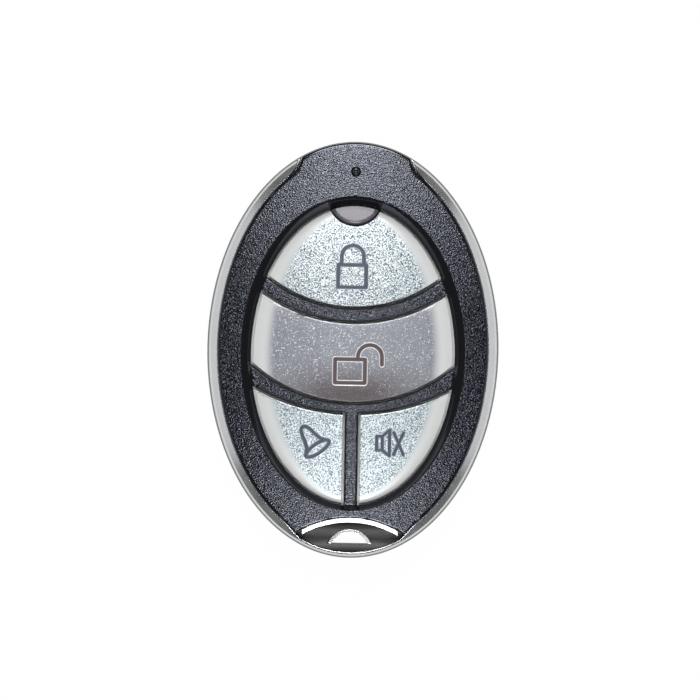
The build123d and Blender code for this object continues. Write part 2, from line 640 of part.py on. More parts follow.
def make_switch_plate(name):
    """The steel plate that holds the plunger in, with a claw down each long side."""
    x, y = SWITCH_PLACES[name]
    low = BOARD_HIGH + SWITCH_BASE_HEIGHT
    width = SWITCH_WIDTH + 2 * (SWITCH_PLATE + SEAT_GAP)
    plate = box_on(0, 0, low, SWITCH_LENGTH, SWITCH_WIDTH, SWITCH_PLATE)
    claw_low = low - SWITCH_CLAW_HEIGHT
    claws = box_on(0, 0, claw_low, SWITCH_CLAW_WIDTH, width, SWITCH_CLAW_HEIGHT + SWITCH_PLATE)
    room = SWITCH_WIDTH + 2 * SEAT_GAP
    claws -= box_on(0, 0, claw_low, SWITCH_LENGTH, room, SWITCH_CLAW_HEIGHT)
    window = Rectangle(PLUNGER_LENGTH + 2 * FIT_GAP, PLUNGER_WIDTH + 2 * FIT_GAP)
    return Pos(x, y) * (plate + claws - prism(window, low, low + SWITCH_PLATE))


def make_switch_plunger(name):
    x, y = SWITCH_PLACES[name]
    collar_high = BOARD_HIGH + SWITCH_BASE_HEIGHT - SEAT_GAP
    collar = prism(plunger_collar(0), collar_high - PLUNGER_COLLAR_HEIGHT, collar_high)
    pin = prism(Rectangle(PLUNGER_LENGTH, PLUNGER_WIDTH), collar_high, PLUNGER_HIGH)
    return Pos(x, y) * (collar + pin)


def bent_leg(start, foot, width, thickness, rise):
    """A leg bent once: up the side of a part at start, and out along the board by foot."""
    inner = BOARD_HIGH + thickness
    top = BOARD_HIGH + rise
    path = [(start, BOARD_HIGH), (start + foot, BOARD_HIGH), (start + foot, inner)]
    path += [(start + thickness, inner), (start + thickness, top), (start, top)]
    return extrude(Plane.XZ * make_face(Polyline(*path, close=True)), width / 2, both=True)


def make_switch_terminals():
    """Sixteen legs, four to a switch, as one group of separate solids."""
    start = SWITCH_LENGTH / 2
    leg = bent_leg(start, TERMINAL_FOOT, TERMINAL_WIDTH, TERMINAL_THICKNESS, TERMINAL_HEIGHT)
    legs = []
    for x, y in SWITCH_PLACES.values():
        for turn in (0, 180):
            for shift in (-TERMINAL_SPACING / 2, TERMINAL_SPACING / 2):
                legs.append(Pos(x, y) * (Pos(0, shift) * leg).rotate(Axis.Z, turn))
    return Compound(children=legs)


def make_indicator_led():
    led = box_on(0, LED_Y, BOARD_HIGH, LED_LENGTH, LED_WIDTH, LED_HEIGHT)
    window_low = BOARD_HIGH + LED_HEIGHT - LED_WINDOW_DEPTH
    return led - box_on(0, LED_Y, window_low, LED_WINDOW, LED_WINDOW, LED_WINDOW_DEPTH)


def make_encoder_chip():
    """The moulded body. Its bevelled edge marks the side of the first pin."""
    standoff = PIN_THICKNESS
    chip = box_on(CHIP_X, CHIP_Y, BOARD_HIGH + standoff, CHIP_WIDTH, CHIP_LENGTH, CHIP_HEIGHT)
    first_pin_edge = chip.edges().filter_by(Axis.Y).group_by(Axis.Z)[-1].sort_by(Axis.X)[0]
    return chamfer(first_pin_edge, CHIP_BEVEL)


def make_encoder_pins():
    """Two rows of legs along the chip, as one group of separate solids."""
    leg = bent_leg(CHIP_WIDTH / 2, PIN_FOOT, PIN_WIDTH, PIN_THICKNESS, PIN_RISE)
    first = -PIN_PITCH * (PIN_COUNT - 1) / 2
    legs = []
    for turn in (0, 180):
        for number in range(PIN_COUNT):
            row = Pos(0, first + number * PIN_PITCH) * leg
            legs.append(Pos(CHIP_X, CHIP_Y) * row.rotate(Axis.Z, turn))
    return Compound(children=legs)


def make_saw_resonator():
    """A flat square package with a raised lid."""
    base_height = RESONATOR_HEIGHT - RESONATOR_LID
    base = box_on(
        RESONATOR_X, RESONATOR_Y, BOARD_HIGH, RESONATOR_SIDE, RESONATOR_SIDE, base_height
    )
    lid_side = RESONATOR_SIDE - 2 * RESONATOR_BRIM
    lid_low = BOARD_HIGH + base_height
    return base + box_on(RESONATOR_X, RESONATOR_Y, lid_low, lid_side, lid_side, RESONATOR_LID)


def make_rf_transistor():
    """A small moulded body with two legs on one side and one on the other."""
    body = box_on(0, 0, BOARD_HIGH, TRANSISTOR_LENGTH, TRANSISTOR_WIDTH, TRANSISTOR_HEIGHT)
    reach = TRANSISTOR_WIDTH / 2 + TRANSISTOR_LEG
    for x, side in ((-TRANSISTOR_LENGTH / 3, -1), (TRANSISTOR_LENGTH / 3, -1), (0, 1)):
        body += box_on(x, side * reach / 2, BOARD_HIGH, PIN_WIDTH, reach, PIN_THICKNESS)
    return Pos(TRANSISTOR_X, TRANSISTOR_Y) * body


def make_passives(places, height):
    """Small chip parts as one group of separate solids."""
    blocks = [box_on(x, y, BOARD_HIGH, PASSIVE_LENGTH, PASSIVE_WIDTH, height) for x, y in places]
    return Compound(children=blocks)


def all_parts():
    parts = {
        "metal_frame": make_metal_frame(),
        "front_cover": make_front_cover(),
        "rear_cover": make_rear_cover(),
        "keyring_insert": make_keyring_insert(),
        "indicator_lens": make_indicator_lens(),
        "case_screws": make_case_screws(),
        "circuit_board": make_circuit_board(),
        "antenna_track": make_antenna_track(),
        "coin_cell": make_coin_cell(),
        "battery_clip": make_battery_clip(),
        "cell_contact": make_cell_contact(),
        "indicator_led": make_indicator_led(),
        "encoder_chip": make_encoder_chip(),
        "encoder_pins": make_encoder_pins(),
        "saw_resonator": make_saw_resonator(),
        "rf_transistor": make_rf_transistor(),
        "chip_resistors": make_passives(RESISTOR_PLACES + [LED_RESISTOR_PLACE], RESISTOR_HEIGHT),
        "chip_capacitors": make_passives(CAPACITOR_PLACES, CAPACITOR_HEIGHT),
        "switch_terminals": make_switch_terminals(),
    }
    for name in BUTTON_OUTLINES:
        parts[f"{name}_button"] = make_button(name)
        parts[f"{name}_switch_base"] = make_switch_base(name)
        parts[f"{name}_switch_plate"] = make_switch_plate(name)
        parts[f"{name}_switch_plunger"] = make_switch_plunger(name)
    return parts


os.makedirs("parts", exist_ok=True)
for node, shape in all_parts().items():
    export_step(shape, f"parts/{node}.step")
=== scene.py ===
"""An oval garage door remote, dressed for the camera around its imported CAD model.

Everything is in metres in the frame of the CAD model: X across the remote, Y along it towards
the indicator lens and Z up out of the buttons. Sizes in the functions are millimetres until a
mesh is made.

The caps, the front cover, the lens and the screws are built again here as fine shells. The outlines
of the first three are traced round a middle point, their walls are stitched ring by ring, and their
tops are sheets of triangles laid on a height rule, which carries the soft bevels, the ribs and the
sunk signs. Geometry Nodes set the screws in their places. The other CAD nodes only get finishes.
"""

import math
from functools import partial

import bmesh
import bpy
import numpy as np
from mathutils import Matrix, Vector, geometry


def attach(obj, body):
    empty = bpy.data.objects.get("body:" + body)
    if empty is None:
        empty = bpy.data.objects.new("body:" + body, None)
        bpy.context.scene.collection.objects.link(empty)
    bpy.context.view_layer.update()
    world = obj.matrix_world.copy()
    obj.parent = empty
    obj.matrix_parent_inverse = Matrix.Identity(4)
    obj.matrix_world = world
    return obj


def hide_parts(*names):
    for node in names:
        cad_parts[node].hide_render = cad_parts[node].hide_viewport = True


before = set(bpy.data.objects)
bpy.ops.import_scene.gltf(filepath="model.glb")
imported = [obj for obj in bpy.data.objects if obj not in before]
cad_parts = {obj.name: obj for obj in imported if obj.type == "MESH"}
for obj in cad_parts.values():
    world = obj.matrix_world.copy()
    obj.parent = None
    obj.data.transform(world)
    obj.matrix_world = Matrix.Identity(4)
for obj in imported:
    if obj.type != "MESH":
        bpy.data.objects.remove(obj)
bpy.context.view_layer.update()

bl_info = {
    "name": "Oval Remote Maker",
    "version": (1, 0, 0),
    "blender": (4, 5, 0),
    "location": "3D View > Sidebar > Remote",
    "description": "Dresses an oval four-button garage door remote and sets it on a studio floor",
    "category": "Add Mesh",
}

MM = 0.001

# Sizes of the CAD model that the shells repeat, in millimetres. An oval on the middle line is its half
# width, its half length and the place of its middle, where that isn't 0. An arc across the middle
# line is where it crosses that line and its radius. A span is its lower and its upper level.
MIDDLE = (0.0, 0.0)
HALF_WIDTH = 21.0
HALF_LENGTH = 30.0
CROWN_ACROSS = 80.0
CROWN_ALONG = 170.0
CAP_TOP = 13.0
BEZEL_TOP = 12.9
RIB_TOP = 11.6
ZONE = (14.36, 21.3, -0.8)
CAP_INNER = (12.46, 20.75, -0.8)
DISH_RIM = (16.2, 22.57, -0.58)
OPENING_GAP = 0.3
LOCK_EDGE = (6.22, 19.7)
UNLOCK_UPPER = (3.72, 23.2)
UNLOCK_LOWER = (-7.48, 21.65)
PAIR_UPPER = (-9.38, 30.3)
PAIR_HALF_SPLIT = 1.25
LENS_Y = 21.74
LENS_RADIUS = 3.78
BITE_RADIUS = 3.98
DIMPLE_Y = 25.6
CORE_OVAL = (19.4, 28.4)
TAB_OVAL = (20.7, 29.7)
HORN_OVAL = (20.1, 29.1)
COVER_FOOT = 9.35
SKIRT_WALL = 1.2
SKIRT_SPAN = (6.45, 9.45)
TAB_FOOT = 8.28
TAB_MIDDLE = (0.0, 28.3)
TAB_BLOCK_INNER_OVAL = (18.0, 27.0)
POST_RADIUS = 1.7
CAP_WALL = 1.2
CAP_FLANGE = 0.7
CAP_FOOT = 8.65
FLANGE_TOP = 9.25
CAP_CEILING = 10.6
STEM_RADIUS = 1.5
STEM_SPAN = (8.95, 10.65)
LENS_MIDDLE = (0.0, 19.4)
LENS_MARGIN = 0.2
LENS_SUNK = 0.35
LENS_FOOT = 8.7
LENS_FLANGE = ((-3.4, 20.3), (3.4, 20.3), (3.4, 23.0), (-3.4, 23.0))
LENS_FLANGE_SPAN = (8.72, 9.28)
SCREWS = ((-10.5, 19.0), (10.5, 19.0), (-10.5, -19.5), (10.5, -19.5))

# The arch over the key-ring pocket: its radius and the place of its middle
ARCH = (14.55, -38.65)

# The leaning sides of the tab and of the horns: distance from the middle line and inset from the
# body's oval, at the outer and at the inner end
TAB_SIDES = ((7.6, 0), (8.4, 1.5))
HORN_SIDES = ((7.1, 0.8), (9.1, 1.5))
SIDE_OVERLAP = 1.5

# Shapes that only the shells have, in millimetres
SEAM_LIP = 0.12
COVER_EDGE = 0.34
OPENING_EDGE = 0.07
LENS_EDGE = 0.12
LENS_RIM_WIDTH = 0.5
LENS_RIM_DROP = 0.4
CAP_EDGE_RISE = 0.8
CAP_BEVEL_BLEND = 0.35
RIB_EDGE_DROP = 0.14
RIB_EDGE_WIDTH = 0.22
RIB_CORNER_BLEND = 0.25
DISH_FOOT_RISE = 0.15
DISH_FOOT_BLEND = 0.06
BEZEL_BLEND = 0.1
DIMPLE_RADIUS = 0.42
DIMPLE_DEPTH = 0.42
DIMPLE_HALF_WIDTH = 0.28
SIGN_SLOPE = 0.1

# Where the marks that the materials read begin, and over what span they grow to 1. The first is in
# shares of the cap's bevel, the edge share is of a cap's edge radius, and the others are in millimetres.
CAP_GRAIN_FADE = (0.75, 0.9)
EDGE_SHARE = 0.75
BEZEL_GRAIN_FADE = (0.0, 0.06)
RIB_GRAIN_FADE = (0.12, 0.1)
EDGE_GRAIN_FADE = (0.3, 0.14)
LENS_SIDE_FADE = (0.1, 0.14)
LENS_TOP_FADE = (0.3, 0.14)
SIGN_FADE = 0.32

# How closely the shells are meshed: points round an outline, steps between points, and the insets of
# the rings that follow an edge
CAP_TRACE = 260
COVER_TRACE = 620
OPENING_TRACE = 300
OPENING_GUIDE_TRACE = 260
DISH_RIM_TRACE = 520
SKIRT_TRACE = 300
TAB_TRACE = 160
LENS_TRACE = 160
DIMPLE_POINTS = 36
ROD_SIDES = 24
SCREW_SIDES = 40
SIGN_PITCH = 0.075
COVER_PITCH = 0.42
LENS_PITCH = 0.14
CAP_GUIDES = (0.07, 0.18, 0.36)
EDGE_GUIDES = (0.42, 0.55, 0.7, 0.85, 1.0)
OPENING_GUIDES = (0.13, 0.2, 0.3)
DISH_RIM_GUIDES = (-0.22, -0.1, -0.04, 0.0, 0.04, 0.1, 0.22)
DIMPLE_GUIDES = (0.1, 0.2, 0.26, 0.32, 0.38, 0.5, 0.56, 0.62, 0.68, 0.74)

# A screw from its head up to its tip: rings of radius and height, its thread and its cross slot, and
# the most that a screw is turned, in radians
SCREW_HEAD = ((1.34, 0.3), (1.43, 0.33), (1.48, 0.4), (1.5, 0.5), (1.5, 1.3), (0.7, 1.3))
SCREW_TIP = ((0.5, 8.5), (0.08, 8.78))
SHANK_RADIUS = 0.64
THREAD_SPAN = (1.36, 8.3)
THREAD_PITCH = 0.7
THREAD_DEPTH = 0.2
SLOT_REACH = 0.85
SLOT_HALF_WIDTH = 0.2
SLOT_FLOOR = 0.9
MOST_SCREW_TURN = 1.5
TURN_SEED = 7

# Search settings of the outlines and heights
FARTHEST_REACH = 42
REACH_STEPS = 421
TRACE_HALVINGS = 26
TAPER_HALVINGS = 28
FIRST_ANGLE = 0.0123

# Mesh clean-up, in millimetres and degrees
MERGE_DISTANCE = 0.0015
SHORTEST_EDGE = 0.0005
SHARP_ANGLE = 38

# Stage: lamps with their place and size in metres and their power in watts
LAMPS = {
    "Upper softbox": ((0.0, 0.16, 0.5), (0.24, 0.1), 0.62),
    "Lower softbox": ((0.0, -0.17, 0.5), (0.18, 0.1), 0.42),
    "Far upper softbox": ((0.0, 0.36, 0.48), (0.3, 0.12), 2.2),
    "Far lower softbox": ((0.0, -0.36, 0.48), (0.3, 0.12), 1.8),
    "Left strip": ((-0.5, 0.04, 0.11), (0.6, 0.2), 0.25),
    "Right strip": ((0.5, 0.04, 0.11), (0.6, 0.2), 0.25),
}
WORLD_STRENGTH = 0.07
FLOOR_LEVEL = -0.00002
FLOOR_GLOW_SHARE = 0.975

# Camera: the photograph's side and the remote's place in it in pixels, the millimetres that a pixel
# shows at the scale level in metres, the roll in degrees and the sensor's width in millimetres
PHOTO_PIXELS = 700
PIXEL = 0.14413
CAMERA_SHIFT = (-2.9, -0.2)
CAMERA_ROLL = 1.0
SCALE_LEVEL = 0.006
SENSOR = 36.0


# Outlines: a region is a list of parts, and a part is a list of fields that are all positive inside
# it. A region moves out by the millimetres that it grows, or in where they are negative.


def oval(half_x, half_y, middle_y=0.0):
    """Positive inside an oval on the middle line, and close to millimetres near its edge."""
    size = min(half_x, half_y)
    return lambda x, y: size * (1 - np.sqrt((x / half_x) ** 2 + ((y - middle_y) / half_y) ** 2))


def disc(radius, middle_y):
    return lambda x, y: radius - np.hypot(x, y - middle_y)


def bow(arc, grow):
    """Positive inside the circle of an arc across the middle line."""
    return disc(arc[1] + grow, arc[0] + arc[1])


def outside(field):
    return lambda x, y: -field(x, y)


def beside(side, inner_x):
    """Positive beyond inner_x on one side of the middle line."""
    return lambda x, y: side * x - inner_x


def strip(sides, grow, side):
    """Positive between two leaning lines at one end of the body's oval."""
    (outer_x, outer_inset), (inner_x, inner_inset) = [(x + grow, inset) for x, inset in sides]

    def oval_y(inset, x):
        return (HALF_LENGTH - inset) * math.sqrt(1 - (x / (HALF_WIDTH - inset)) ** 2)

    outer_y, inner_y = oval_y(outer_inset, outer_x), oval_y(inner_inset, inner_x)
    slope = (inner_x - outer_x) / (outer_y - inner_y)
    start_y = inner_y - SIDE_OVERLAP

    def value(x, y):
        within = outer_x + (outer_y - side * y) * slope - np.abs(x)
        return np.where(side * y > start_y, within, -1.0)

    return value


def zone(grow):
    return oval(ZONE[0] + grow, ZONE[1] + grow, ZONE[2])


def lock_region(grow, bitten=True):
    """The lock cap's outline. Its bite round the lens widens as the outline shrinks, but never closes."""
    fields = [zone(grow), bow(LOCK_EDGE, grow)]
    bite = outside(disc(BITE_RADIUS - min(grow, 0), LENS_Y))
    return [fields + [bite] if bitten else fields]


def unlock_region(grow):
    return [[zone(grow), outside(bow(UNLOCK_UPPER, -grow)), bow(UNLOCK_LOWER, grow)]]


def pair_region(grow, side):
    """The bell cap's outline on side -1 and the mute cap's on side 1."""
    return [[zone(grow), outside(bow(PAIR_UPPER, -grow)), beside(side, PAIR_HALF_SPLIT - grow)]]


def cover_region(grow):
    """The front cover with its tab at the upper end and its two horns beside the arch.

    A fine lip closes the seam to the frame.
    """
    grow = grow + SEAM_LIP
    arch = outside(disc(ARCH[0] - grow, ARCH[1]))
    core, tab, horns = [
        oval(half_x + grow, half_y + grow) for half_x, half_y in (CORE_OVAL, TAB_OVAL, HORN_OVAL)
    ]
    return [[core, arch], [tab, strip(TAB_SIDES, grow, 1)], [horns, strip(HORN_SIDES, grow, -1), arch]]


def skirt_region(wall):
    """The outline of the front cover's inner wall, or the inside of that wall."""
    return [[oval(CORE_OVAL[0] - wall, CORE_OVAL[1] - wall), outside(disc(ARCH[0] + wall, ARCH[1]))]]


def lens_region(grow):
    return [[disc(LENS_RADIUS + grow, LENS_Y), zone(LENS_MARGIN + grow)]]


# Each cap's outline, a point inside it and the place of its switch
CAPS = {
    "lock": (lock_region, (0.0, 9.0), (0, 12.6)),
    "unlock": (unlock_region, (0.0, -1.5), (0, -2.0)),
    "bell": (lambda grow: pair_region(grow, -1), (-5.6, -13.5), (-6.4, -14.0)),
    "mute": (lambda grow: pair_region(grow, 1), (5.6, -13.5), (6.4, -14.0)),
}


def opening_region(name, grow):
    """The front cover's opening round a cap. The lock cap's opening takes in the lens."""
    grow = OPENING_GAP + grow
    return lock_region(grow, bitten=False) if name == "lock" else CAPS[name][0](grow)


def measure(region, x, y):
    """The region's value at x, y, positive inside, and which field sets it."""
    best = np.full(np.shape(x), -np.inf)
    owner = np.zeros(np.shape(x), int)
    for part_number, part in enumerate(region):
        values = np.array([field(x, y) for field in part])
        low = values.min(axis=0)
        own = 10 * part_number + values.argmin(axis=0)
        owner = np.where(low > best, own, owner)
        best = np.maximum(best, low)
    return best, owner


def inside(region, slack=0.0):
    """A test of the region that lets its edge's own triangles pass by the slack."""
    return lambda x, y: measure(region, x, y)[0] + slack


def on_face(x, y, inset=0.0):
    """Positive on the front cover's top, by more than the inset from its edge and its openings."""
    value = measure(cover_region(-inset), x, y)[0]
    for name in CAPS:
        value = np.minimum(value, -measure(opening_region(name, inset), x, y)[0])
    return value


def reach(region, centre, angles):
    """How far the region goes from the centre at each angle, and the field it ends at."""
    across, along = np.cos(angles), np.sin(angles)
    steps = np.linspace(0, FARTHEST_REACH, REACH_STEPS)
    spread = centre[0] + np.outer(steps, across), centre[1] + np.outer(steps, along)
    first_out = np.argmax(measure(region, *spread)[0] <= 0, axis=0)
    near, far = steps[first_out - 1], steps[first_out]
    for _ in range(TRACE_HALVINGS):
        middle = (near + far) / 2
        keeps = measure(region, centre[0] + middle * across, centre[1] + middle * along)[0] > 0
        near, far = np.where(keeps, middle, near), np.where(keeps, far, middle)
    owner = measure(region, centre[0] + near * across, centre[1] + near * along)[1]
    return near, owner


def trace_angles(region, centre, count):
    """Angles round the centre, with one more at every corner of the region's outline."""
    angles = np.linspace(0, 2 * np.pi, count, endpoint=False) + FIRST_ANGLE
    owner = reach(region, centre, angles)[1]
    turned = np.flatnonzero(owner != np.roll(owner, -1))
    near, far = angles[turned], angles[turned] + 2 * np.pi / count
    for _ in range(TRACE_HALVINGS):
        middle = (near + far) / 2
        same = reach(region, centre, middle)[1] == owner[turned]
        near, far = np.where(same, middle, near), np.where(same, far, middle)
    return np.sort(np.concatenate([angles, near]))


def trace(region, centre, angles):
    """The region's outline as points, one for each angle."""
    radius = reach(region, centre, angles)[0]
    return np.column_stack([centre[0] + radius * np.cos(angles), centre[1] + radius * np.sin(angles)])


def unit_circle(count):
    angles = np.linspace(0, 2 * np.pi, count, endpoint=False)
    return np.column_stack([np.cos(angles), np.sin(angles)])


# Heights


def crown_drop(x, y):
    """How far the crowned front lies below its highest point at x, y."""
    across = CROWN_ALONG - CROWN_ACROSS + np.sqrt(CROWN_ACROSS**2 - x**2)
    return CROWN_ALONG - np.sqrt(across**2 - y**2)


def taper(low_oval, high_oval, x, y):
    """Which share of the way from one oval to the other the point lies at, also beyond them."""
    near, far = np.full(np.shape(x), -4.0), np.full(np.shape(x), 6.0)
    flip = 1 if high_oval[0] < low_oval[0] else -1
    for _ in range(TAPER_HALVINGS):
        share = (near + far) / 2
        half_x, half_y, middle_y = [low + share * (high - low) for low, high in zip(low_oval, high_oval)]
        within = flip * ((x / half_x) ** 2 + ((y - middle_y) / half_y) ** 2 - 1) < 0
        near, far = np.where(within, share, near), np.where(within, far, share)
    return (near + far) / 2


def soft_min(a, b, size):
    blend = np.clip(0.5 + 0.5 * (b - a) / size, 0, 1)
    return b * (1 - blend) + a * blend - size * blend * (1 - blend)


def soft_max(a, b, size):
    return -soft_min(-a, -b, size)


def ease(value):
    value = np.clip(value, 0, 1)
    return value * value * (3 - 2 * value)


def fade_in(value, start, span):
    """From 0 at the start to 1 a span further on, along an S curve."""
    return ease((value - start) / span)


def cap_bevel_share(x, y):
    return taper(ZONE, CAP_INNER, x, y)


def cap_height(x, y):
    """The caps' top: crowned, and falling in a soft bevel towards the oval."""
    edge_z = RIB_TOP - crown_drop(ZONE[0], 0) + CAP_EDGE_RISE
    inner_z = CAP_TOP - crown_drop(CAP_INNER[0], 0)
    bevel = edge_z + cap_bevel_share(x, y) * (inner_z - edge_z)
    return soft_min(CAP_TOP - crown_drop(x, y), bevel, CAP_BEVEL_BLEND)


def rib_reach(x, y):
    """How far inside a rib the point lies. It is negative in the openings."""
    lock_side, unlock_foot = [-bow(arc, OPENING_GAP)(x, y) for arc in (LOCK_EDGE, UNLOCK_LOWER)]
    unlock_top, pair_top = [bow(arc, -OPENING_GAP)(x, y) for arc in (UNLOCK_UPPER, PAIR_UPPER)]
    post = np.minimum(PAIR_HALF_SPLIT - OPENING_GAP - np.abs(x), unlock_foot)
    lower = soft_max(np.minimum(unlock_foot, pair_top), post, RIB_CORNER_BLEND)
    return np.maximum(np.minimum(lock_side, unlock_top), lower)


def dish_height(x, y):
    """The dish's sloped wall, which goes on beyond its foot and its rim."""
    foot = (ZONE[0] + OPENING_GAP, ZONE[1] + OPENING_GAP, ZONE[2])
    foot_z = RIB_TOP - crown_drop(foot[0], 0) + DISH_FOOT_RISE
    rim_z = BEZEL_TOP - (crown_drop(DISH_RIM[0], 0) + crown_drop(0, DISH_RIM[1])) / 2
    return foot_z + taper(foot, DISH_RIM, x, y) * (rim_z - foot_z)


def rib_height(x, y):
    """The ribs' tops, which drop a little along their edges."""
    return RIB_TOP - crown_drop(x, y) - RIB_EDGE_DROP * (1 - ease(rib_reach(x, y) / RIB_EDGE_WIDTH))


def cover_height(x, y):
    """The front cover's top: bezel, dish wall, ribs and the small dimple with its pip."""
    dish = soft_max(dish_height(x, y), rib_height(x, y), DISH_FOOT_BLEND)
    height = soft_min(BEZEL_TOP - crown_drop(x, y), dish, BEZEL_BLEND)
    from_groove = np.abs(np.hypot(x, y - DIMPLE_Y) - DIMPLE_RADIUS)
    return height - DIMPLE_DEPTH * ease(1 - from_groove / DIMPLE_HALF_WIDTH)


# Shells


def round_over(radius):
    """How far in and how far down a rounded edge goes, step by step."""
    steps = [0.0, 0.12, 0.32, 0.62, 1.0]
    return [(radius * step, radius * (1 - math.sqrt(1 - (1 - step) ** 2))) for step in steps]


def at_height(ring, level):
    """Gives a flat ring a height, either one number or one for each point."""
    return np.column_stack([ring, np.broadcast_to(level, len(ring))])


def rounded_rim(outline, radius, centre, angles, height):
    """Rings that round the edge of a top. The outline gives the region at an inset."""
    rings = []
    for inset, drop in round_over(radius):
        ring = trace(outline(inset), centre, angles)
        rings.append(at_height(ring, height(*ring.T) - drop))
    return rings


class Shell:
    """Points and faces of a closed form, gathered from stitched rings and sheets."""

    def __init__(self):
        self.points = []
        self.faces = []

    def stitch(self, rings):
        """Joins rings of equal length with quads."""
        start, count = len(self.points), len(rings[0])
        for ring in rings:
            self.points += [tuple(point) for point in ring]
        for row in range(len(rings) - 1):
            low, high = start + row * count, start + (row + 1) * count
            for i in range(count):
                k = (i + 1) % count
                self.faces.append((low + i, low + k, high + k, high + i))

    def sheet(self, loops, region_test, fill=(), height=None):
        """Triangles between closed loops of finished points, through fill points on a height rule."""
        flat, edges, levels = [], [], []
        for loop in loops:
            first = len(flat)
            flat += [Vector((point[0], point[1])) for point in loop]
            levels += [point[2] for point in loop]
            edges += [(first + i, first + (i + 1) % len(loop)) for i in range(len(loop))]
        if len(fill):
            flat += [Vector(point) for point in fill]
            levels += list(height(fill[:, 0], fill[:, 1]))
        _, _, triangles, *_ = geometry.delaunay_2d_cdt(flat, edges, [], 0, 1e-6)
        corners = np.array([point[:] for point in flat])
        triangles = np.array([face for face in triangles if max(face) < len(flat)])
        middles = corners[triangles].mean(axis=1)
        kept = triangles[region_test(middles[:, 0], middles[:, 1]) > 0]
        start = len(self.points)
        self.points += [(x, y, z) for (x, y), z in zip(corners, levels)]
        self.faces += [tuple(int(start + i) for i in face) for face in kept]

    def prism(self, outline, low, high):
        """A closed upright prism over a flat outline."""
        self.stitch([at_height(outline, level) for level in (low, high)])
        last, count = len(self.points), len(outline)
        self.faces.append(tuple(range(last - count, last)))
        self.faces.append(tuple(reversed(range(last - 2 * count, last - count))))

    def rod(self, place, radius, low, high):
        self.prism(unit_circle(ROD_SIDES) * radius + place, low, high)

    def mesh(self, name):
        """The shell as a mesh: merged, with its faces outward and its edges sharp where they turn."""
        mesh = bpy.data.meshes.new(name)
        mesh.from_pydata([(x * MM, y * MM, z * MM) for x, y, z in self.points], [], self.faces)
        work = bmesh.new()
        work.from_mesh(mesh)
        bmesh.ops.remove_doubles(work, verts=work.verts, dist=MERGE_DISTANCE * MM)
        bmesh.ops.dissolve_degenerate(work, edges=work.edges, dist=SHORTEST_EDGE * MM)
        loose = [vertex for vertex in work.verts if not vertex.link_faces]
        bmesh.ops.delete(work, geom=loose, context="VERTS")
        bmesh.ops.recalc_face_normals(work, faces=work.faces)
        work.to_mesh(mesh)
        work.free()
        mesh.shade_smooth()
        mesh.set_sharp_from_angle(angle=math.radians(SHARP_ANGLE))
        return mesh

    def finish(self, name, material, slot, body, replaced, marks):
        """The shell as an object: marks painted, body set, and the CAD node that it replaces hidden.

        A mark is a rule over the points' places in millimetres that the material reads, from 0 to 1.
        """
        mesh = self.mesh(name)
        places = np.empty(len(mesh.vertices) * 3)
        mesh.vertices.foreach_get("co", places)
        places = places.reshape(-1, 3) / MM
        for mark, rule in marks.items():
            layer = mesh.attributes.new(mark, "FLOAT", "POINT")
            layer.data.foreach_set("value", rule(*places.T).astype(np.float32))
        mesh.materials.append(material)
        piece = bpy.data.objects.new(name, mesh)
        bpy.context.scene.collection.objects.link(piece)
        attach(piece, body)
        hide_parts(replaced)


def grid_points(low, high, pitch):
    """A staggered grid of points between two corners."""
    rows = []
    for row, y in enumerate(np.arange(low[1], high[1], pitch * 0.87)):
        x = np.arange(low[0] + (row % 2) * pitch / 2, high[0], pitch)
        rows.append(np.column_stack([x, np.full(len(x), y)]))
    return np.concatenate(rows)


# Signs: lines with a width, sunk into the caps


def arc_line(x, y, radius, start, end, count=20, squash=1.0):
    angles = np.radians(np.linspace(start, end, count))
    return [(x + radius * math.cos(a), y + radius * squash * math.sin(a)) for a in angles]


def box_line(low_x, low_y, high_x, high_y):
    """A closed upright rectangle."""
    return [(low_x, low_y), (high_x, low_y), (high_x, high_y), (low_x, high_y), (low_x, low_y)]


def padlock_signs(closed):
    """A padlock's body and its shackle, hooked in or swung open."""
    if closed:
        body = box_line(-2.3, 8.94, 1.72, 12.18)
        shackle = [(1.36, 12.18)] + arc_line(-0.23, 13.37, 1.59, 0, 180) + [(-1.82, 12.18)]
    else:
        body = box_line(-2.53, -4.75, 1.77, -1.37)
        shackle = [(4.2, -2.07)] + arc_line(2.47, -1.01, 1.73, 0, 180) + [(0.74, -1.37)]
    return [body, shackle]


def bell_signs():
    """A hand bell, leaning to the left: its body from flank to flank, and its oval mouth."""
    top, along = np.array([-7.0, -11.25]), np.array([0.58, -0.815])
    across = np.array([0.815, 0.58])
    flank = [(0.42, 0.12), (0.72, 0.85), (0.9, 1.8), (1.2, 2.75), (1.95, 3.6)]
    body = [(-v, u) for v, u in reversed(flank)] + [(-0.16, -0.06), (0.16, -0.06)] + flank
    mouth = arc_line(0, 3.68, 1.98, 0, 360, 32, 0.33)
    return [[tuple(top + v * across + u * along) for v, u in line] for line in (body, mouth)]


def mute_signs():
    """A loudspeaker with a cross beside it."""
    box = [(4.46, -12.35), (3.66, -12.35), (3.66, -14.35), (4.46, -14.35)]
    cone = [(4.46, -12.35), (5.5, -11.45), (5.5, -15.15), (4.46, -14.35), (4.46, -12.35)]
    return [box, cone, [(6.1, -11.8), (7.5, -14.95)], [(7.5, -11.8), (6.1, -14.95)]]


def line_distance(lines, x, y):
    """How far the point lies from the nearest line's middle."""
    best = np.full(np.shape(x), 99.0)
    for line in lines:
        for (ax, ay), (bx, by) in zip(line[:-1], line[1:]):
            run_x, run_y = bx - ax, by - ay
            share = np.clip(((x - ax) * run_x + (y - ay) * run_y) / (run_x**2 + run_y**2), 0, 1)
            best = np.minimum(best, np.hypot(x - ax - share * run_x, y - ay - share * run_y))
    return best


# Each cap's sign: its lines and their width
SIGNS = {
    "lock": (padlock_signs(True), 0.42),
    "unlock": (padlock_signs(False), 0.6),
    "bell": (bell_signs(), 0.42),
    "mute": (mute_signs(), 0.36),
}
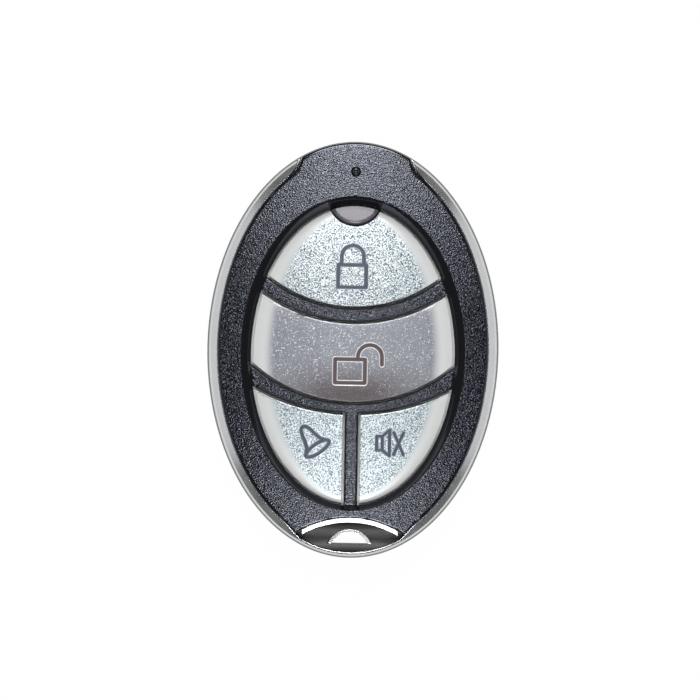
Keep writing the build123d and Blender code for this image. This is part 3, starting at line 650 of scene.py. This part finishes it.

# Flakes are (position, colour) stops over the flake noise, and a sign is its edge's and its inner colour:
# painted shade in the sunk lines, and on the unlock cap a painted white highlight along their edges
DENSE_FLAKES = [(0.41, (0.04, 0.06, 0.08)), (0.51, (0.36, 0.41, 0.43)), (0.61, (0.88, 0.95, 0.98))]
COOL_FLAKES = [(0.39, (0.08, 0.115, 0.145)), (0.51, (0.38, 0.44, 0.465)), (0.61, (0.88, 0.95, 0.98))]
SPARSE_FLAKES = [(0.4, (0.19, 0.2, 0.225)), (0.6, (0.29, 0.3, 0.34)), (0.65, (0.93, 0.96, 1.0))]
PAINTED_SHADE_SIGN = ((0.22, 0.25, 0.3), (0.05, 0.06, 0.085))
PAINTED_HIGHLIGHT_AND_SHADE_SIGN = ((1.0, 1.0, 1.0), (0.07, 0.05, 0.055))

# Each cap's paint: flakes, roughness and the sign's painted shade and highlight
PAINTS = {
    "lock": (DENSE_FLAKES, 0.3, PAINTED_SHADE_SIGN),
    "unlock": (SPARSE_FLAKES, 0.28, PAINTED_HIGHLIGHT_AND_SHADE_SIGN),
    "bell": (COOL_FLAKES, 0.3, PAINTED_SHADE_SIGN),
    "mute": (COOL_FLAKES, 0.3, PAINTED_SHADE_SIGN),
}

# Colour, metallic and roughness, and then grain, spread and depth where they aren't the usual ones
PLAIN_FINISHES = {
    "Pocket black": ((0.006, 0.006, 0.007), 0, 0.42, 4.0, 0.2, 0.03),
    "Black resin": ((0.02, 0.02, 0.02), 0, 0.5),
    "Nickel steel": ((0.66, 0.65, 0.62), 1, 0.25),
    "Tinned metal": ((0.72, 0.72, 0.74), 1, 0.3),
    "White resin": ((0.78, 0.78, 0.74), 0, 0.4),
    "Board green": ((0.01, 0.1, 0.035), 0, 0.3),
    "Copper track": ((0.72, 0.4, 0.2), 1, 0.35),
    "Capacitor tan": ((0.4, 0.27, 0.16), 0, 0.5),
}
NODE_FINISHES = {
    "front_cover": "Moulded black",
    "rear_cover": "Moulded black",
    "keyring_insert": "Pocket black",
    "circuit_board": "Board green",
    "antenna_track": "Copper track",
    "chip_capacitors": "Capacitor tan",
    "indicator_led": "White resin",
    "encoder_pins": "Tinned metal",
    "switch_terminals": "Tinned metal",
    "saw_resonator": "Tinned metal",
    "coin_cell": "Nickel steel",
    "battery_clip": "Nickel steel",
    "cell_contact": "Nickel steel",
    "case_screws": "Nickel steel",
}

# The switches' parts by the last word of their names. Nodes that are in neither table are black resin.
SWITCH_FINISHES = {"plunger": "White resin", "plate": "Nickel steel"}


# Node helpers. Values and colours are handed on as output sockets. A Mix node's colour sockets go by
# number, because their names repeat for each kind of data, and so do a Random Value node's.

MIX_FACTOR, MIX_FIRST, MIX_SECOND, MIX_RESULT = 0, 6, 7, 2
RANDOM_HIGHEST, RANDOM_RESULT = 3, 1


def new_material(name):
    """A node material, its tree and its Principled shader."""
    material = bpy.data.materials.new(name)
    material.use_nodes = True
    tree = material.node_tree
    return material, tree, tree.nodes["Principled BSDF"]


def wire(tree, socket, value):
    """Links an output to an input socket, or sets the socket to a colour or a number."""
    if isinstance(value, bpy.types.NodeSocket):
        tree.links.new(value, socket)
    else:
        socket.default_value = (*value, 1) if isinstance(value, tuple) else value


def put(tree, node, **values):
    """Sets a node's attributes and input sockets by name."""
    for key, value in values.items():
        if hasattr(node, key) and key not in node.inputs:
            setattr(node, key, value)
        else:
            wire(tree, node.inputs[key.replace("_", " ")], value)
    return node


def add(tree, kind, **values):
    return put(tree, tree.nodes.new(kind), **values)


def spot_noise(tree, scale, detail=3.0, roughness=0.6):
    """Noise on object coordinates. The scale is in cells to a millimetre."""
    place = add(tree, "ShaderNodeTexCoord").outputs["Object"]
    noise = add(tree, "ShaderNodeTexNoise", Vector=place, Scale=scale / MM, Detail=detail, Roughness=roughness)
    return noise.outputs["Fac"]


def ramp(tree, value, stops):
    """A colour ramp over a value, with (position, grey or colour) stops."""
    node = add(tree, "ShaderNodeValToRGB", Fac=value)
    elements = node.color_ramp.elements
    while len(elements) < len(stops):
        elements.new(0.5)
    for element, (position, tone) in zip(elements, stops):
        element.position = position
        element.color = (*tone, 1) if isinstance(tone, tuple) else (tone, tone, tone, 1)
    return node.outputs["Color"]


def mix(tree, factor, first, second, blend="MIX"):
    """A colour between two colours, or another blend of them. Each is an output or a fixed colour."""
    node = add(tree, "ShaderNodeMix", data_type="RGBA", blend_type=blend)
    for socket, value in ((MIX_FACTOR, factor), (MIX_FIRST, first), (MIX_SECOND, second)):
        wire(tree, node.inputs[socket], value)
    return node.outputs[MIX_RESULT]


def calculate(tree, operation, *values):
    """A Math node over outputs or numbers."""
    node = add(tree, "ShaderNodeMath", operation=operation)
    for socket, value in zip(node.inputs, values):
        wire(tree, socket, value)
    return node.outputs[0]


def bump(tree, height, strength, distance, rounding=0.0):
    """A normal bumped by a value, over edges that are shaded round. The sizes are in millimetres."""
    node = add(tree, "ShaderNodeBump", Height=height, Strength=strength, Distance=distance * MM)
    if rounding:
        edges = add(tree, "ShaderNodeBevel", samples=6, Radius=rounding * MM)
        put(tree, node, Normal=edges.outputs["Normal"])
    return node.outputs["Normal"]


def mark(tree, name):
    """A painted mark of the mesh, from 0 to 1."""
    return add(tree, "ShaderNodeAttribute", attribute_name=name).outputs["Fac"]


def scaled(colour, share):
    """The colour made darker or lighter by a share."""
    return tuple(min(1, channel * share) for channel in colour)


# Materials


def moulded_black(name, marked, grain, depth):
    """Black moulded plastic. The spark-eroded grain lies where the mesh is marked, or all over."""
    material, tree, shader = new_material(name)
    noise = spot_noise(tree, grain, 0.9, 0.5)
    tones = [(0.45, (0.002, 0.002, 0.003)), (0.6, (0.006, 0.007, 0.01)), (0.72, (0.08, 0.09, 0.14))]
    tone = ramp(tree, noise, tones)
    rough = ramp(tree, noise, [(0.35, 0.16), (0.65, 0.09)])
    height = noise
    if marked:
        grained = mark(tree, "grain")
        tone = mix(tree, grained, (0.005, 0.005, 0.006), tone)
        rough = mix(tree, grained, (0.1, 0.1, 0.1), rough)
        height = calculate(tree, "MULTIPLY", noise, grained)
    put(tree, shader, Base_Color=tone, Roughness=rough, Normal=bump(tree, height, 1.0, depth, 0.08))
    put(tree, shader, IOR=1.66, Specular_Tint=(0.84, 0.88, 1.0))
    return material


def cast_metal(name, colour, rough):
    """Satin plated casting with faint clouds in its tone and gloss, and painted shade where it turns away from
    the view.
    """
    material, tree, shader = new_material(name)
    cloud = spot_noise(tree, 0.35)
    tone = ramp(tree, cloud, [(0.3, scaled(colour, 0.93)), (0.7, colour)])
    # Painted shade: the colour falls to half where the surface turns away from the view
    facing = add(tree, "ShaderNodeLayerWeight", Blend=0.5).outputs["Facing"]
    turned = ramp(tree, facing, [(0.62, 0.0), (0.84, 1.0)])
    tone = mix(tree, turned, tone, scaled(colour, 0.5))
    gloss = ramp(tree, cloud, [(0.3, rough), (0.7, rough + 0.05)])
    normal = bump(tree, spot_noise(tree, 4.0), 0.3, 0.006, 0.14)
    put(tree, shader, Base_Color=tone, Metallic=1.0, Roughness=gloss, Normal=normal)
    put(tree, shader, Specular_Tint=(0.2, 0.2, 0.2))
    return material


def silver_paint(name, smooth, tones, rough, sign_painted_light):
    """Silver paint on a cap: flakes in the middle, smooth along the sides, painted shade in the sunk signs.

    Smooth is the colour along the sides. The tones, the roughness and the sign's painted shade and
    highlight come from the table of paints.
    """
    material, tree, shader = new_material(name)
    flakes = spot_noise(tree, 5.2, 2.0, 0.7)
    grain, sign = mark(tree, "grain"), mark(tree, "sign")
    flaked = ramp(tree, grain, [(0.45, 0.0), (0.95, 1.0)])
    tone = mix(tree, flaked, tones[1][1], ramp(tree, flakes, tones))
    # Painted dark reflection: the unlock cap's colour is multiplied towards a dull brown towards its lower
    # middle
    painted_dark_reflection = ramp(tree, mark(tree, "painted_dark_reflection"), [(0.0, 1.0), (1.0, (0.34, 0.27, 0.26))])
    tone = mix(tree, 1.0, tone, painted_dark_reflection, "MULTIPLY")
    tone = mix(tree, grain, smooth, tone)
    # Painted shade in the sunk lines, with a painted highlight along their edges on the unlock cap
    sunk = ramp(tree, sign, [(0.3, sign_painted_light[0]), (0.75, sign_painted_light[1])])
    tone = mix(tree, ramp(tree, sign, [(0.1, 0.0), (0.35, 1.0)]), tone, sunk)
    gloss = ramp(tree, flakes, [(0.35, rough + 0.06), (0.65, rough - 0.04)])
    gloss = mix(tree, grain, (0.42, 0.42, 0.42), gloss)
    normal = bump(tree, calculate(tree, "MULTIPLY", flakes, grain), 1.0, 0.02, 0.05)
    put(tree, shader, Base_Color=tone, Metallic=0.28, Roughness=gloss, Normal=normal)
    return material


def smoked_lens(name, colour):
    """Smoked lens over a pale light guide, with painted shade towards its rim."""
    material, tree, shader = new_material(name)
    cloud = spot_noise(tree, 0.8, 2.0, 0.5)
    tone = ramp(tree, cloud, [(0.3, scaled(colour, 0.75)), (0.7, colour)])
    # Painted shade: the colour falls to half along the lens's round rim and its upper edge
    tone = mix(tree, mark(tree, "rim"), tone, scaled(colour, 0.5))
    gloss = ramp(tree, cloud, [(0.3, 0.22), (0.7, 0.3)])
    normal = bump(tree, spot_noise(tree, 1.6, 1.0, 0.4), 0.2, 0.004)
    put(tree, shader, Base_Color=tone, Roughness=gloss, Normal=normal)
    put(tree, shader, Coat_Weight=0.3, Coat_Roughness=0.08)
    return material


def plain_finish(name, colour, metallic, rough, grain=2.0, spread=0.1, depth=0.01):
    """A simple finish with some life in its tone, its gloss and its surface.

    The grain is in cells to a millimetre, the spread is of its tone, and the depth is in millimetres.
    """
    material, tree, shader = new_material(name)
    noise = spot_noise(tree, grain)
    tone = ramp(tree, noise, [(0.35, scaled(colour, 1 - spread)), (0.65, scaled(colour, 1 + spread))])
    gloss = ramp(tree, noise, [(0.3, rough), (0.7, rough + 0.12)])
    normal = bump(tree, noise, 0.3, depth, 0.05)
    put(tree, shader, Base_Color=tone, Metallic=metallic, Roughness=gloss, Normal=normal)
    return material


class RemoteCapSettings(bpy.types.PropertyGroup):
    """The four silver caps and the signs in them."""

    sign_depth: bpy.props.FloatProperty(
        name="Sign depth", description="How deep the signs are sunk into the caps",
        default=0.00016, min=0.0, max=0.0004, unit="LENGTH",
    )
    edge_radius: bpy.props.FloatProperty(
        name="Edge radius", description="Rounding of the caps' upper edges",
        default=0.00012, min=0.00005, max=0.0005, unit="LENGTH",
    )
    fill_pitch: bpy.props.FloatProperty(
        name="Mesh pitch", description="Spacing of the points on the caps' tops",
        default=0.00045, min=0.0002, max=0.002, unit="LENGTH",
    )


class RemoteFinishSettings(bpy.types.PropertyGroup):
    """The main colours."""

    silver: bpy.props.FloatVectorProperty(
        name="Silver", description="Silver paint where it is smooth",
        default=(0.66, 0.67, 0.665), min=0.0, max=1.0, subtype="COLOR",
    )
    metal: bpy.props.FloatVectorProperty(
        name="Metal", description="The cast frame",
        default=(0.8, 0.81, 0.82), min=0.0, max=1.0, subtype="COLOR",
    )
    lens: bpy.props.FloatVectorProperty(
        name="Lens", description="The smoked indicator lens",
        default=(0.1, 0.088, 0.11), min=0.0, max=1.0, subtype="COLOR",
    )


class RemoteStageSettings(bpy.types.PropertyGroup):
    """The studio around the remote."""

    floor_size: bpy.props.FloatProperty(
        name="Floor size", description="Side of the square floor",
        default=2.4, min=0.5, unit="LENGTH",
    )
    camera_height: bpy.props.FloatProperty(
        name="Camera height", description="How far above the floor the camera hangs",
        default=1.8, min=0.2, unit="LENGTH",
    )


class REMOTE_OT_caps(bpy.types.Operator):
    """Build the four silver caps with their sunk signs"""

    bl_idname = "remote.caps"
    bl_label = "Build the caps"

    def execute(self, context):
        smooth = tuple(context.scene.remote_finish.silver)
        for name in CAPS:
            paint = silver_paint(f"Silver of the {name} cap", smooth, *PAINTS[name])
            self.cap(name, context.scene.remote_caps, paint)
        return {"FINISHED"}

    def cap(self, name, sizes, paint):
        """One cap, hollow from below, with a flange at its foot and a stem over its switch."""
        region, centre, stem_place = CAPS[name]
        lines, width = SIGNS[name]
        depth, radius, pitch = sizes.sign_depth / MM, sizes.edge_radius / MM, sizes.fill_pitch / MM

        def from_line(x, y):
            """How far outside the sign's lines the point lies."""
            return line_distance(lines, x, y) - width / 2

        def height(x, y):
            return cap_height(x, y) - depth * ease(0.5 - from_line(x, y) / SIGN_SLOPE)

        angles = trace_angles(region(0), centre, CAP_TRACE)
        edge, flange, hollow = (trace(region(grow), centre, angles) for grow in (0, CAP_FLANGE, -CAP_WALL))
        shell = Shell()
        rings = [at_height(hollow, CAP_CEILING), at_height(hollow, CAP_FOOT)]
        rings += [at_height(flange, CAP_FOOT), at_height(flange, FLANGE_TOP), at_height(edge, FLANGE_TOP)]
        rings += rounded_rim(lambda inset: region(-inset), radius, centre, angles, cap_height)
        shell.stitch(rings)

        # A close grid under the sign, an open one elsewhere, and rings that follow the edge, with room
        # between the three, because points that nearly touch make slivers
        low, high = edge.min(axis=0), edge.max(axis=0)
        coarse, fine = grid_points(low, high, pitch), grid_points(low, high, SIGN_PITCH)
        fill = np.concatenate([coarse[from_line(*coarse.T) >= 0.25], fine[from_line(*fine.T) < 0.2]])
        fill = fill[measure(region(-radius - 0.5), *fill.T)[0] > 0]
        guides = [trace(region(-radius - inset), centre, angles) for inset in CAP_GUIDES]
        shell.sheet([rings[-1]], inside(region(-radius), 0.02), np.concatenate([fill, *guides]), height)
        shell.sheet([rings[0]], inside(region(-CAP_WALL), 0.05))
        shell.rod(stem_place, STEM_RADIUS, *STEM_SPAN)

        def grained(x, y, z):
            """The flakes lie on the top and leave its bevel smooth."""
            on_top = z > cap_height(x, y) - EDGE_SHARE * radius
            return fade_in(cap_bevel_share(x, y), *CAP_GRAIN_FADE) * on_top

        def signed(x, y, z):
            """Where the painted shade of the sunk lines lies: on the top, and not where they cross the cap's
            underside.
            """
            within = np.clip(0.5 - from_line(x, y) / SIGN_FADE, 0, 1)
            return within * (z > cap_height(x, y) - 0.5)

        def shaded(x, y, z):
            """The unlock cap is darker towards its lower middle, where a dark reflection is painted."""
            return ease((-0.5 - y) / 6) * ease(1.15 - np.abs(x) / 12) * (name == "unlock")

        marks = {"grain": grained, "sign": signed, "painted_dark_reflection": shaded}
        shell.finish(f"{name}_cap", paint, "silver_paint", f"{name}_button", f"{name}_button", marks)


class REMOTE_OT_cover(bpy.types.Operator):
    """Build the grained front cover with its dish, ribs, tab and dimple"""

    bl_idname = "remote.cover"
    bl_label = "Build the front cover"

    def execute(self, context):
        shell = Shell()
        self.face(shell)
        self.skirt(shell)
        self.tab_block(shell)

        def grained(x, y, z):
            """The bezel and the ribs' tops are grained. The edges, the dish and the dimple are smooth."""
            bezel = fade_in(dish_height(x, y) - BEZEL_TOP + crown_drop(x, y), *BEZEL_GRAIN_FADE)
            over_dish = rib_height(x, y) > dish_height(x, y) + 0.03
            rib = fade_in(rib_reach(x, y), *RIB_GRAIN_FADE) * over_dish
            from_edge = fade_in(measure(cover_region(0), x, y)[0], *EDGE_GRAIN_FADE)
            on_top = z > cover_height(x, y) - 0.06
            off_dimple = np.hypot(x, y - DIMPLE_Y) > DIMPLE_RADIUS + DIMPLE_HALF_WIDTH + 0.02
            return np.maximum(bezel * from_edge, rib) * on_top * off_dimple

        black = moulded_black("Cover black", True, 5.2, 0.08)
        marks = {"grain": grained}
        shell.finish("front_cover_skin", black, "black_plastic", "case", "front_cover", marks)
        return {"FINISHED"}

    def face(self, shell):
        """The top, the wall round it and the walls of the four openings."""
        angles = trace_angles(cover_region(0), MIDDLE, COVER_TRACE)
        foot = at_height(trace(cover_region(0), MIDDLE, angles), COVER_FOOT)
        rim = rounded_rim(lambda inset: cover_region(-inset), COVER_EDGE, MIDDLE, angles, cover_height)
        shell.stitch([foot, *rim])
        tops, floors = [rim[-1]], [foot]
        for name, (_, middle, _) in CAPS.items():
            opening = partial(opening_region, name)
            turn = trace_angles(opening(0), middle, OPENING_TRACE)
            foot = at_height(trace(opening(0), middle, turn), COVER_FOOT)
            lip = rounded_rim(opening, OPENING_EDGE, middle, turn, cover_height)
            shell.stitch([foot, *lip])
            tops.append(lip[-1])
            floors.append(foot)
        shell.sheet(tops, on_face, self.face_points(angles), cover_height)
        shell.sheet(floors, on_face)

    def face_points(self, angles):
        """Points for the top: an even grid, with closer ones where the height bends."""
        grid = grid_points((-HALF_WIDTH, -HALF_LENGTH), (HALF_WIDTH, HALF_LENGTH), COVER_PITCH)
        guides = [grid[np.hypot(grid[:, 0], grid[:, 1] - DIMPLE_Y) > 0.85]]

        outward = unit_circle(DISH_RIM_TRACE)
        turn = np.linspace(0, 2 * np.pi, DISH_RIM_TRACE, endpoint=False)
        dish = [[lambda x, y: BEZEL_TOP - crown_drop(x, y) - dish_height(x, y)]]
        dish_rim = trace(dish, (0.0, -0.6), turn)
        guides += [dish_rim + shift * outward for shift in DISH_RIM_GUIDES]

        for name, (_, middle, _) in CAPS.items():
            turn = trace_angles(opening_region(name, 0), middle, OPENING_GUIDE_TRACE)
            guides += [trace(opening_region(name, inset), middle, turn) for inset in OPENING_GUIDES]

        for radius in DIMPLE_GUIDES:
            guides.append(radius * unit_circle(DIMPLE_POINTS) + (0.0, DIMPLE_Y))

        # Points close to an edge would make slivers there, so rings that follow it take their place
        fill = np.unique(np.round(np.concatenate(guides), 3), axis=0)
        fill = fill[(on_face(*fill.T) > 0.1) & (on_face(*fill.T, 0.1) > 0)]
        fill = fill[measure(cover_region(-1.15), *fill.T)[0] > 0]
        rings = [trace(cover_region(-inset), MIDDLE, angles) for inset in EDGE_GUIDES]
        return np.concatenate([fill, *rings])

    def skirt(self, shell):
        """The wall that reaches down into the case, and the screw posts."""
        low, high = SKIRT_SPAN
        angles = trace_angles(skirt_region(0), MIDDLE, SKIRT_TRACE)
        outer, inner = (trace(skirt_region(wall), MIDDLE, angles) for wall in (0, SKIRT_WALL))
        section = ((outer, low), (outer, high), (inner, high), (inner, low), (outer, low))
        shell.stitch([at_height(ring, level) for ring, level in section])
        for place in SCREWS:
            shell.rod(place, POST_RADIUS, low, high)

    def tab_block(self, shell):
        """The solid block under the tab."""
        block = [[oval(*TAB_OVAL), strip(TAB_SIDES, 0, 1), outside(oval(*TAB_BLOCK_INNER_OVAL))]]
        ring = trace(block, TAB_MIDDLE, trace_angles(block, TAB_MIDDLE, TAB_TRACE))
        ends = [at_height(ring, level) for level in (TAB_FOOT, SKIRT_SPAN[1])]
        shell.stitch(ends)
        for end in ends:
            shell.sheet([end], inside(block, 0.02))


class REMOTE_OT_lens(bpy.types.Operator):
    """Build the half-moon indicator lens"""

    bl_idname = "remote.lens"
    bl_label = "Build the indicator lens"

    def execute(self, context):
        angles = trace_angles(lens_region(0), LENS_MIDDLE, LENS_TRACE)

        def from_rim(x, y):
            return LENS_RADIUS - np.hypot(x, y - LENS_Y)

        def height(x, y):
            low = np.clip(1 - from_rim(x, y) / LENS_RIM_WIDTH, 0, 1)
            return CAP_TOP - LENS_SUNK - crown_drop(x, y) - LENS_RIM_DROP * low**2

        shell = Shell()
        foot = at_height(trace(lens_region(0), LENS_MIDDLE, angles), LENS_FOOT)
        rim = rounded_rim(lambda inset: lens_region(-inset), LENS_EDGE, LENS_MIDDLE, angles, height)
        shell.stitch([foot, *rim])
        fill = grid_points((-4, 17.8), (4, 21), LENS_PITCH)
        fill = fill[measure(lens_region(-0.2), *fill.T)[0] > 0]
        shell.sheet([rim[-1]], inside(lens_region(-LENS_EDGE), 0.02), fill, height)
        shell.sheet([foot], inside(lens_region(0), 0.02))
        shell.prism(LENS_FLANGE, *LENS_FLANGE_SPAN)

        # Where the lens's painted shade lies: along its round rim and along its upper edge
        def rim_painted_shade(x, y, z):
            side = 1 - fade_in(from_rim(x, y), *LENS_SIDE_FADE)
            return np.maximum(side, 1 - fade_in(zone(LENS_MARGIN)(x, y), *LENS_TOP_FADE))

        smoke = smoked_lens("Smoked lens", tuple(context.scene.remote_finish.lens))
        shell.finish("indicator_window", smoke, "smoked_lens", "case", "indicator_lens", {"rim": rim_painted_shade})
        return {"FINISHED"}


def scatter_group():
    """Geometry nodes that set one piece on every point, each with its own turn, and make it real."""
    group = bpy.data.node_groups.new("Piece on points", "GeometryNodeTree")
    kinds = {
        "Points": "Geometry", "Piece": "Object", "Finish": "Material", "Most turn": "Float", "Seed": "Int",
    }
    for name, kind in kinds.items():
        group.interface.new_socket(name, in_out="INPUT", socket_type=f"NodeSocket{kind}")
    group.interface.new_socket("Pieces", in_out="OUTPUT", socket_type="NodeSocketGeometry")
    start = add(group, "NodeGroupInput").outputs
    piece = add(group, "GeometryNodeObjectInfo", Object=start["Piece"]).outputs["Geometry"]
    turn = add(group, "FunctionNodeRandomValue", data_type="FLOAT", Seed=start["Seed"])
    wire(group, turn.inputs[RANDOM_HIGHEST], start["Most turn"])
    axis = add(group, "ShaderNodeCombineXYZ", Z=turn.outputs[RANDOM_RESULT]).outputs["Vector"]
    places = add(group, "GeometryNodeInstanceOnPoints", Points=start["Points"], Instance=piece, Rotation=axis)
    real = add(group, "GeometryNodeRealizeInstances", Geometry=places.outputs["Instances"])
    finish = add(group, "GeometryNodeSetMaterial", Geometry=real.outputs["Geometry"], Material=start["Finish"])
    add(group, "NodeGroupOutput", Pieces=finish.outputs["Geometry"])
    return group


def scattered(name, piece, points, material, most_turn=0.0):
    """A mesh of the piece repeated on the points, given in millimetres. The piece itself is used up."""
    seats = bpy.data.meshes.new(f"{name} seats")
    seats.from_pydata([tuple(c * MM for c in point) for point in points], [], [])
    carrier = bpy.data.objects.new(f"{name} seats", seats)
    bpy.context.scene.collection.objects.link(carrier)
    modifier = carrier.modifiers.new("Pieces", "NODES")
    modifier.node_group = scatter_group()
    inputs = {"Piece": piece, "Finish": material, "Most turn": most_turn, "Seed": TURN_SEED}
    for item in modifier.node_group.interface.items_tree:
        if item.name in inputs:
            modifier[item.identifier] = inputs[item.name]
    graph = bpy.context.evaluated_depsgraph_get()
    graph.update()
    mesh = bpy.data.meshes.new_from_object(carrier.evaluated_get(graph))
    carrier.modifiers.remove(modifier)
    bpy.data.objects.remove(carrier)
    bpy.data.objects.remove(piece)
    if not len(mesh.polygons):
        raise RuntimeError(f"{name}: nothing was set on the points")
    return mesh


class REMOTE_OT_screws(bpy.types.Operator):
    """Build the four self-tapping screws in the back"""

    bl_idname = "remote.screws"
    bl_label = "Build the screws"

    def execute(self, context):
        steel = plain_finish("Screw steel", (0.62, 0.61, 0.59), 1, 0.28)
        mesh = scattered("case_screws", self.screw(), [(x, y, 0) for x, y in SCREWS], steel, MOST_SCREW_TURN)
        item = bpy.data.objects.new("self_tapping_screws", mesh)
        context.scene.collection.objects.link(item)
        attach(item, "case")
        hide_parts("case_screws")
        return {"FINISHED"}

    def screw(self):
        """One screw on the Z axis: a cross-slotted head, a threaded shank and a cone at the tip."""
        shell = Shell()
        circle = unit_circle(SCREW_SIDES)
        turns = np.linspace(0, 1, SCREW_SIDES, endpoint=False)
        rings = [at_height(circle * radius, z) for radius, z in SCREW_HEAD]
        for z in np.arange(*THREAD_SPAN, THREAD_PITCH / 7):
            phase = np.abs(((z / THREAD_PITCH - turns) % 1) - 0.5) * 2
            radius = SHANK_RADIUS + THREAD_DEPTH * ease((0.55 - phase) / 0.5)
            rings.append(at_height(circle * radius[:, None], z))
        rings += [at_height(circle * radius, z) for radius, z in SCREW_TIP]
        shell.stitch(rings)
        last = len(shell.points)
        shell.faces.append(tuple(range(last - SCREW_SIDES, last)))

        long, half = SLOT_REACH, SLOT_HALF_WIDTH
        cross = [(half, half), (half, long), (-half, long), (-half, half), (-long, half), (-long, -half)]
        cross = np.array(cross + [(-x, -y) for x, y in cross])
        slot = at_height(cross, SCREW_HEAD[0][1]), at_height(cross * 0.94, SLOT_FLOOR)
        shell.stitch(slot)

        def in_cross(x, y):
            wide, tall = np.abs(x), np.abs(y)
            return np.maximum(np.minimum(half - wide, long - tall), np.minimum(long - wide, half - tall))

        shell.sheet([rings[0], slot[0]], lambda x, y: -in_cross(x, y))
        shell.sheet([slot[1]], lambda x, y: in_cross(x, y) + 0.03)
        item = bpy.data.objects.new("screw", shell.mesh("screw"))
        bpy.context.scene.collection.objects.link(item)
        return item


class REMOTE_OT_dress_nodes(bpy.types.Operator):
    """Give the CAD nodes their finishes"""

    bl_idname = "remote.dress_nodes"
    bl_label = "Dress the CAD nodes"

    def execute(self, context):
        finishes = {name: plain_finish(name, *values) for name, values in PLAIN_FINISHES.items()}
        finishes["Moulded black"] = moulded_black("Moulded black", False, 3.0, 0.02)
        casting = cast_metal("Satin casting", tuple(context.scene.remote_finish.metal), 0.24)
        for node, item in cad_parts.items():
            kind = node.rpartition("_")[2]
            finish = NODE_FINISHES.get(node) or SWITCH_FINISHES.get(kind, "Black resin")
            item.data.materials.clear()
            item.data.materials.append(casting if node == "metal_frame" else finishes[finish])
        return {"FINISHED"}


class REMOTE_OT_stage(bpy.types.Operator):
    """Lay the floor, hang the lights and set the camera over the remote"""

    bl_idname = "remote.stage"
    bl_label = "Set the stage"

    def execute(self, context):
        scene = context.scene
        scene.view_settings.view_transform = "Standard"
        self.floor(scene)
        world = scene.world or bpy.data.worlds.new("Studio")
        scene.world = world
        world.use_nodes = True
        sky = world.node_tree.nodes["Background"]
        put(world.node_tree, sky, Color=(1, 1, 1), Strength=WORLD_STRENGTH)
        for name, values in LAMPS.items():
            self.lamp(scene, name, *values)
        self.camera(scene)
        return {"FINISHED"}

    def floor(self, scene):
        half = scene.remote_stage.floor_size / 2
        mesh = bpy.data.meshes.new("Studio floor")
        corners = ((-half, -half), (half, -half), (half, half), (-half, half))
        mesh.from_pydata([(x, y, FLOOR_LEVEL) for x, y in corners], [], [(0, 1, 2, 3)])
        mesh.materials.append(self.floor_material())
        floor = bpy.data.objects.new("Studio floor", mesh)
        scene.collection.objects.link(floor)

    def floor_material(self):
        """Pale matt floor that the camera, mirrors and glass see as plain white with a soft shadow."""
        material, tree, shader = new_material("Floor white")
        put(tree, shader, Base_Color=(0.86, 0.86, 0.86), Roughness=0.9)
        glow = add(tree, "ShaderNodeEmission", Color=(1, 1, 1), Strength=1.0)
        path = add(tree, "ShaderNodeLightPath").outputs
        seen = calculate(tree, "MAXIMUM", path["Is Camera Ray"], path["Is Glossy Ray"])
        seen = calculate(tree, "MAXIMUM", seen, path["Is Transmission Ray"])
        share = calculate(tree, "MULTIPLY", seen, FLOOR_GLOW_SHARE)
        blend = add(tree, "ShaderNodeMixShader")
        for socket, value in zip(blend.inputs, (share, shader.outputs["BSDF"], glow.outputs["Emission"])):
            wire(tree, socket, value)
        put(tree, tree.nodes["Material Output"], Surface=blend.outputs["Shader"])
        return material

    def lamp(self, scene, name, place, size, power):
        """A flat lamp that looks at the remote."""
        data = bpy.data.lights.new(name, "AREA")
        data.shape = "RECTANGLE"
        data.size, data.size_y = size
        data.energy = power
        lamp = bpy.data.objects.new(name, data)
        scene.collection.objects.link(lamp)
        lamp.location = place
        lamp.rotation_euler = (-Vector(place)).to_track_quat("-Z", "Y").to_euler()

    def camera(self, scene):
        """The camera over the remote, at the photograph's scale, place and roll."""
        height = scene.remote_stage.camera_height
        data = bpy.data.cameras.new("Camera")
        data.sensor_width = SENSOR
        data.lens = SENSOR * (height - SCALE_LEVEL) / (PHOTO_PIXELS * PIXEL * MM)
        data.clip_start = 0.01
        camera = bpy.data.objects.new("Camera", data)
        scene.collection.objects.link(camera)
        roll = math.radians(CAMERA_ROLL)
        place = Matrix.Rotation(roll, 2) @ Vector([step * PIXEL * MM for step in CAMERA_SHIFT])
        camera.location = (place.x, place.y, height)
        camera.rotation_euler = (0, 0, roll)
        scene.camera = camera


class REMOTE_PT_panel(bpy.types.Panel):
    """Buttons that build the remote piece by piece"""

    bl_idname = "REMOTE_PT_panel"
    bl_label = "Oval remote"
    bl_space_type = "VIEW_3D"
    bl_region_type = "UI"
    bl_category = "Remote"

    def draw(self, context):
        scene = context.scene
        for group in (scene.remote_finish, scene.remote_caps, scene.remote_stage):
            for name in group.__annotations__:
                self.layout.prop(group, name)
        for step in STEPS:
            self.layout.operator(step.bl_idname)


STEPS = (
    REMOTE_OT_dress_nodes, REMOTE_OT_caps, REMOTE_OT_cover,
    REMOTE_OT_lens, REMOTE_OT_screws, REMOTE_OT_stage,
)
CLASSES = (RemoteFinishSettings, RemoteCapSettings, RemoteStageSettings, *STEPS, REMOTE_PT_panel)


def register():
    for cls in CLASSES:
        bpy.utils.register_class(cls)
    bpy.types.Scene.remote_finish = bpy.props.PointerProperty(type=RemoteFinishSettings)
    bpy.types.Scene.remote_caps = bpy.props.PointerProperty(type=RemoteCapSettings)
    bpy.types.Scene.remote_stage = bpy.props.PointerProperty(type=RemoteStageSettings)


def unregister():
    del bpy.types.Scene.remote_stage
    del bpy.types.Scene.remote_caps
    del bpy.types.Scene.remote_finish
    for cls in reversed(CLASSES):
        bpy.utils.unregister_class(cls)


def main():
    register()
    bpy.ops.remote.dress_nodes()
    bpy.ops.remote.caps()
    bpy.ops.remote.cover()
    bpy.ops.remote.lens()
    bpy.ops.remote.screws()
    bpy.ops.remote.stage()


if __name__ == "__main__":
    main()
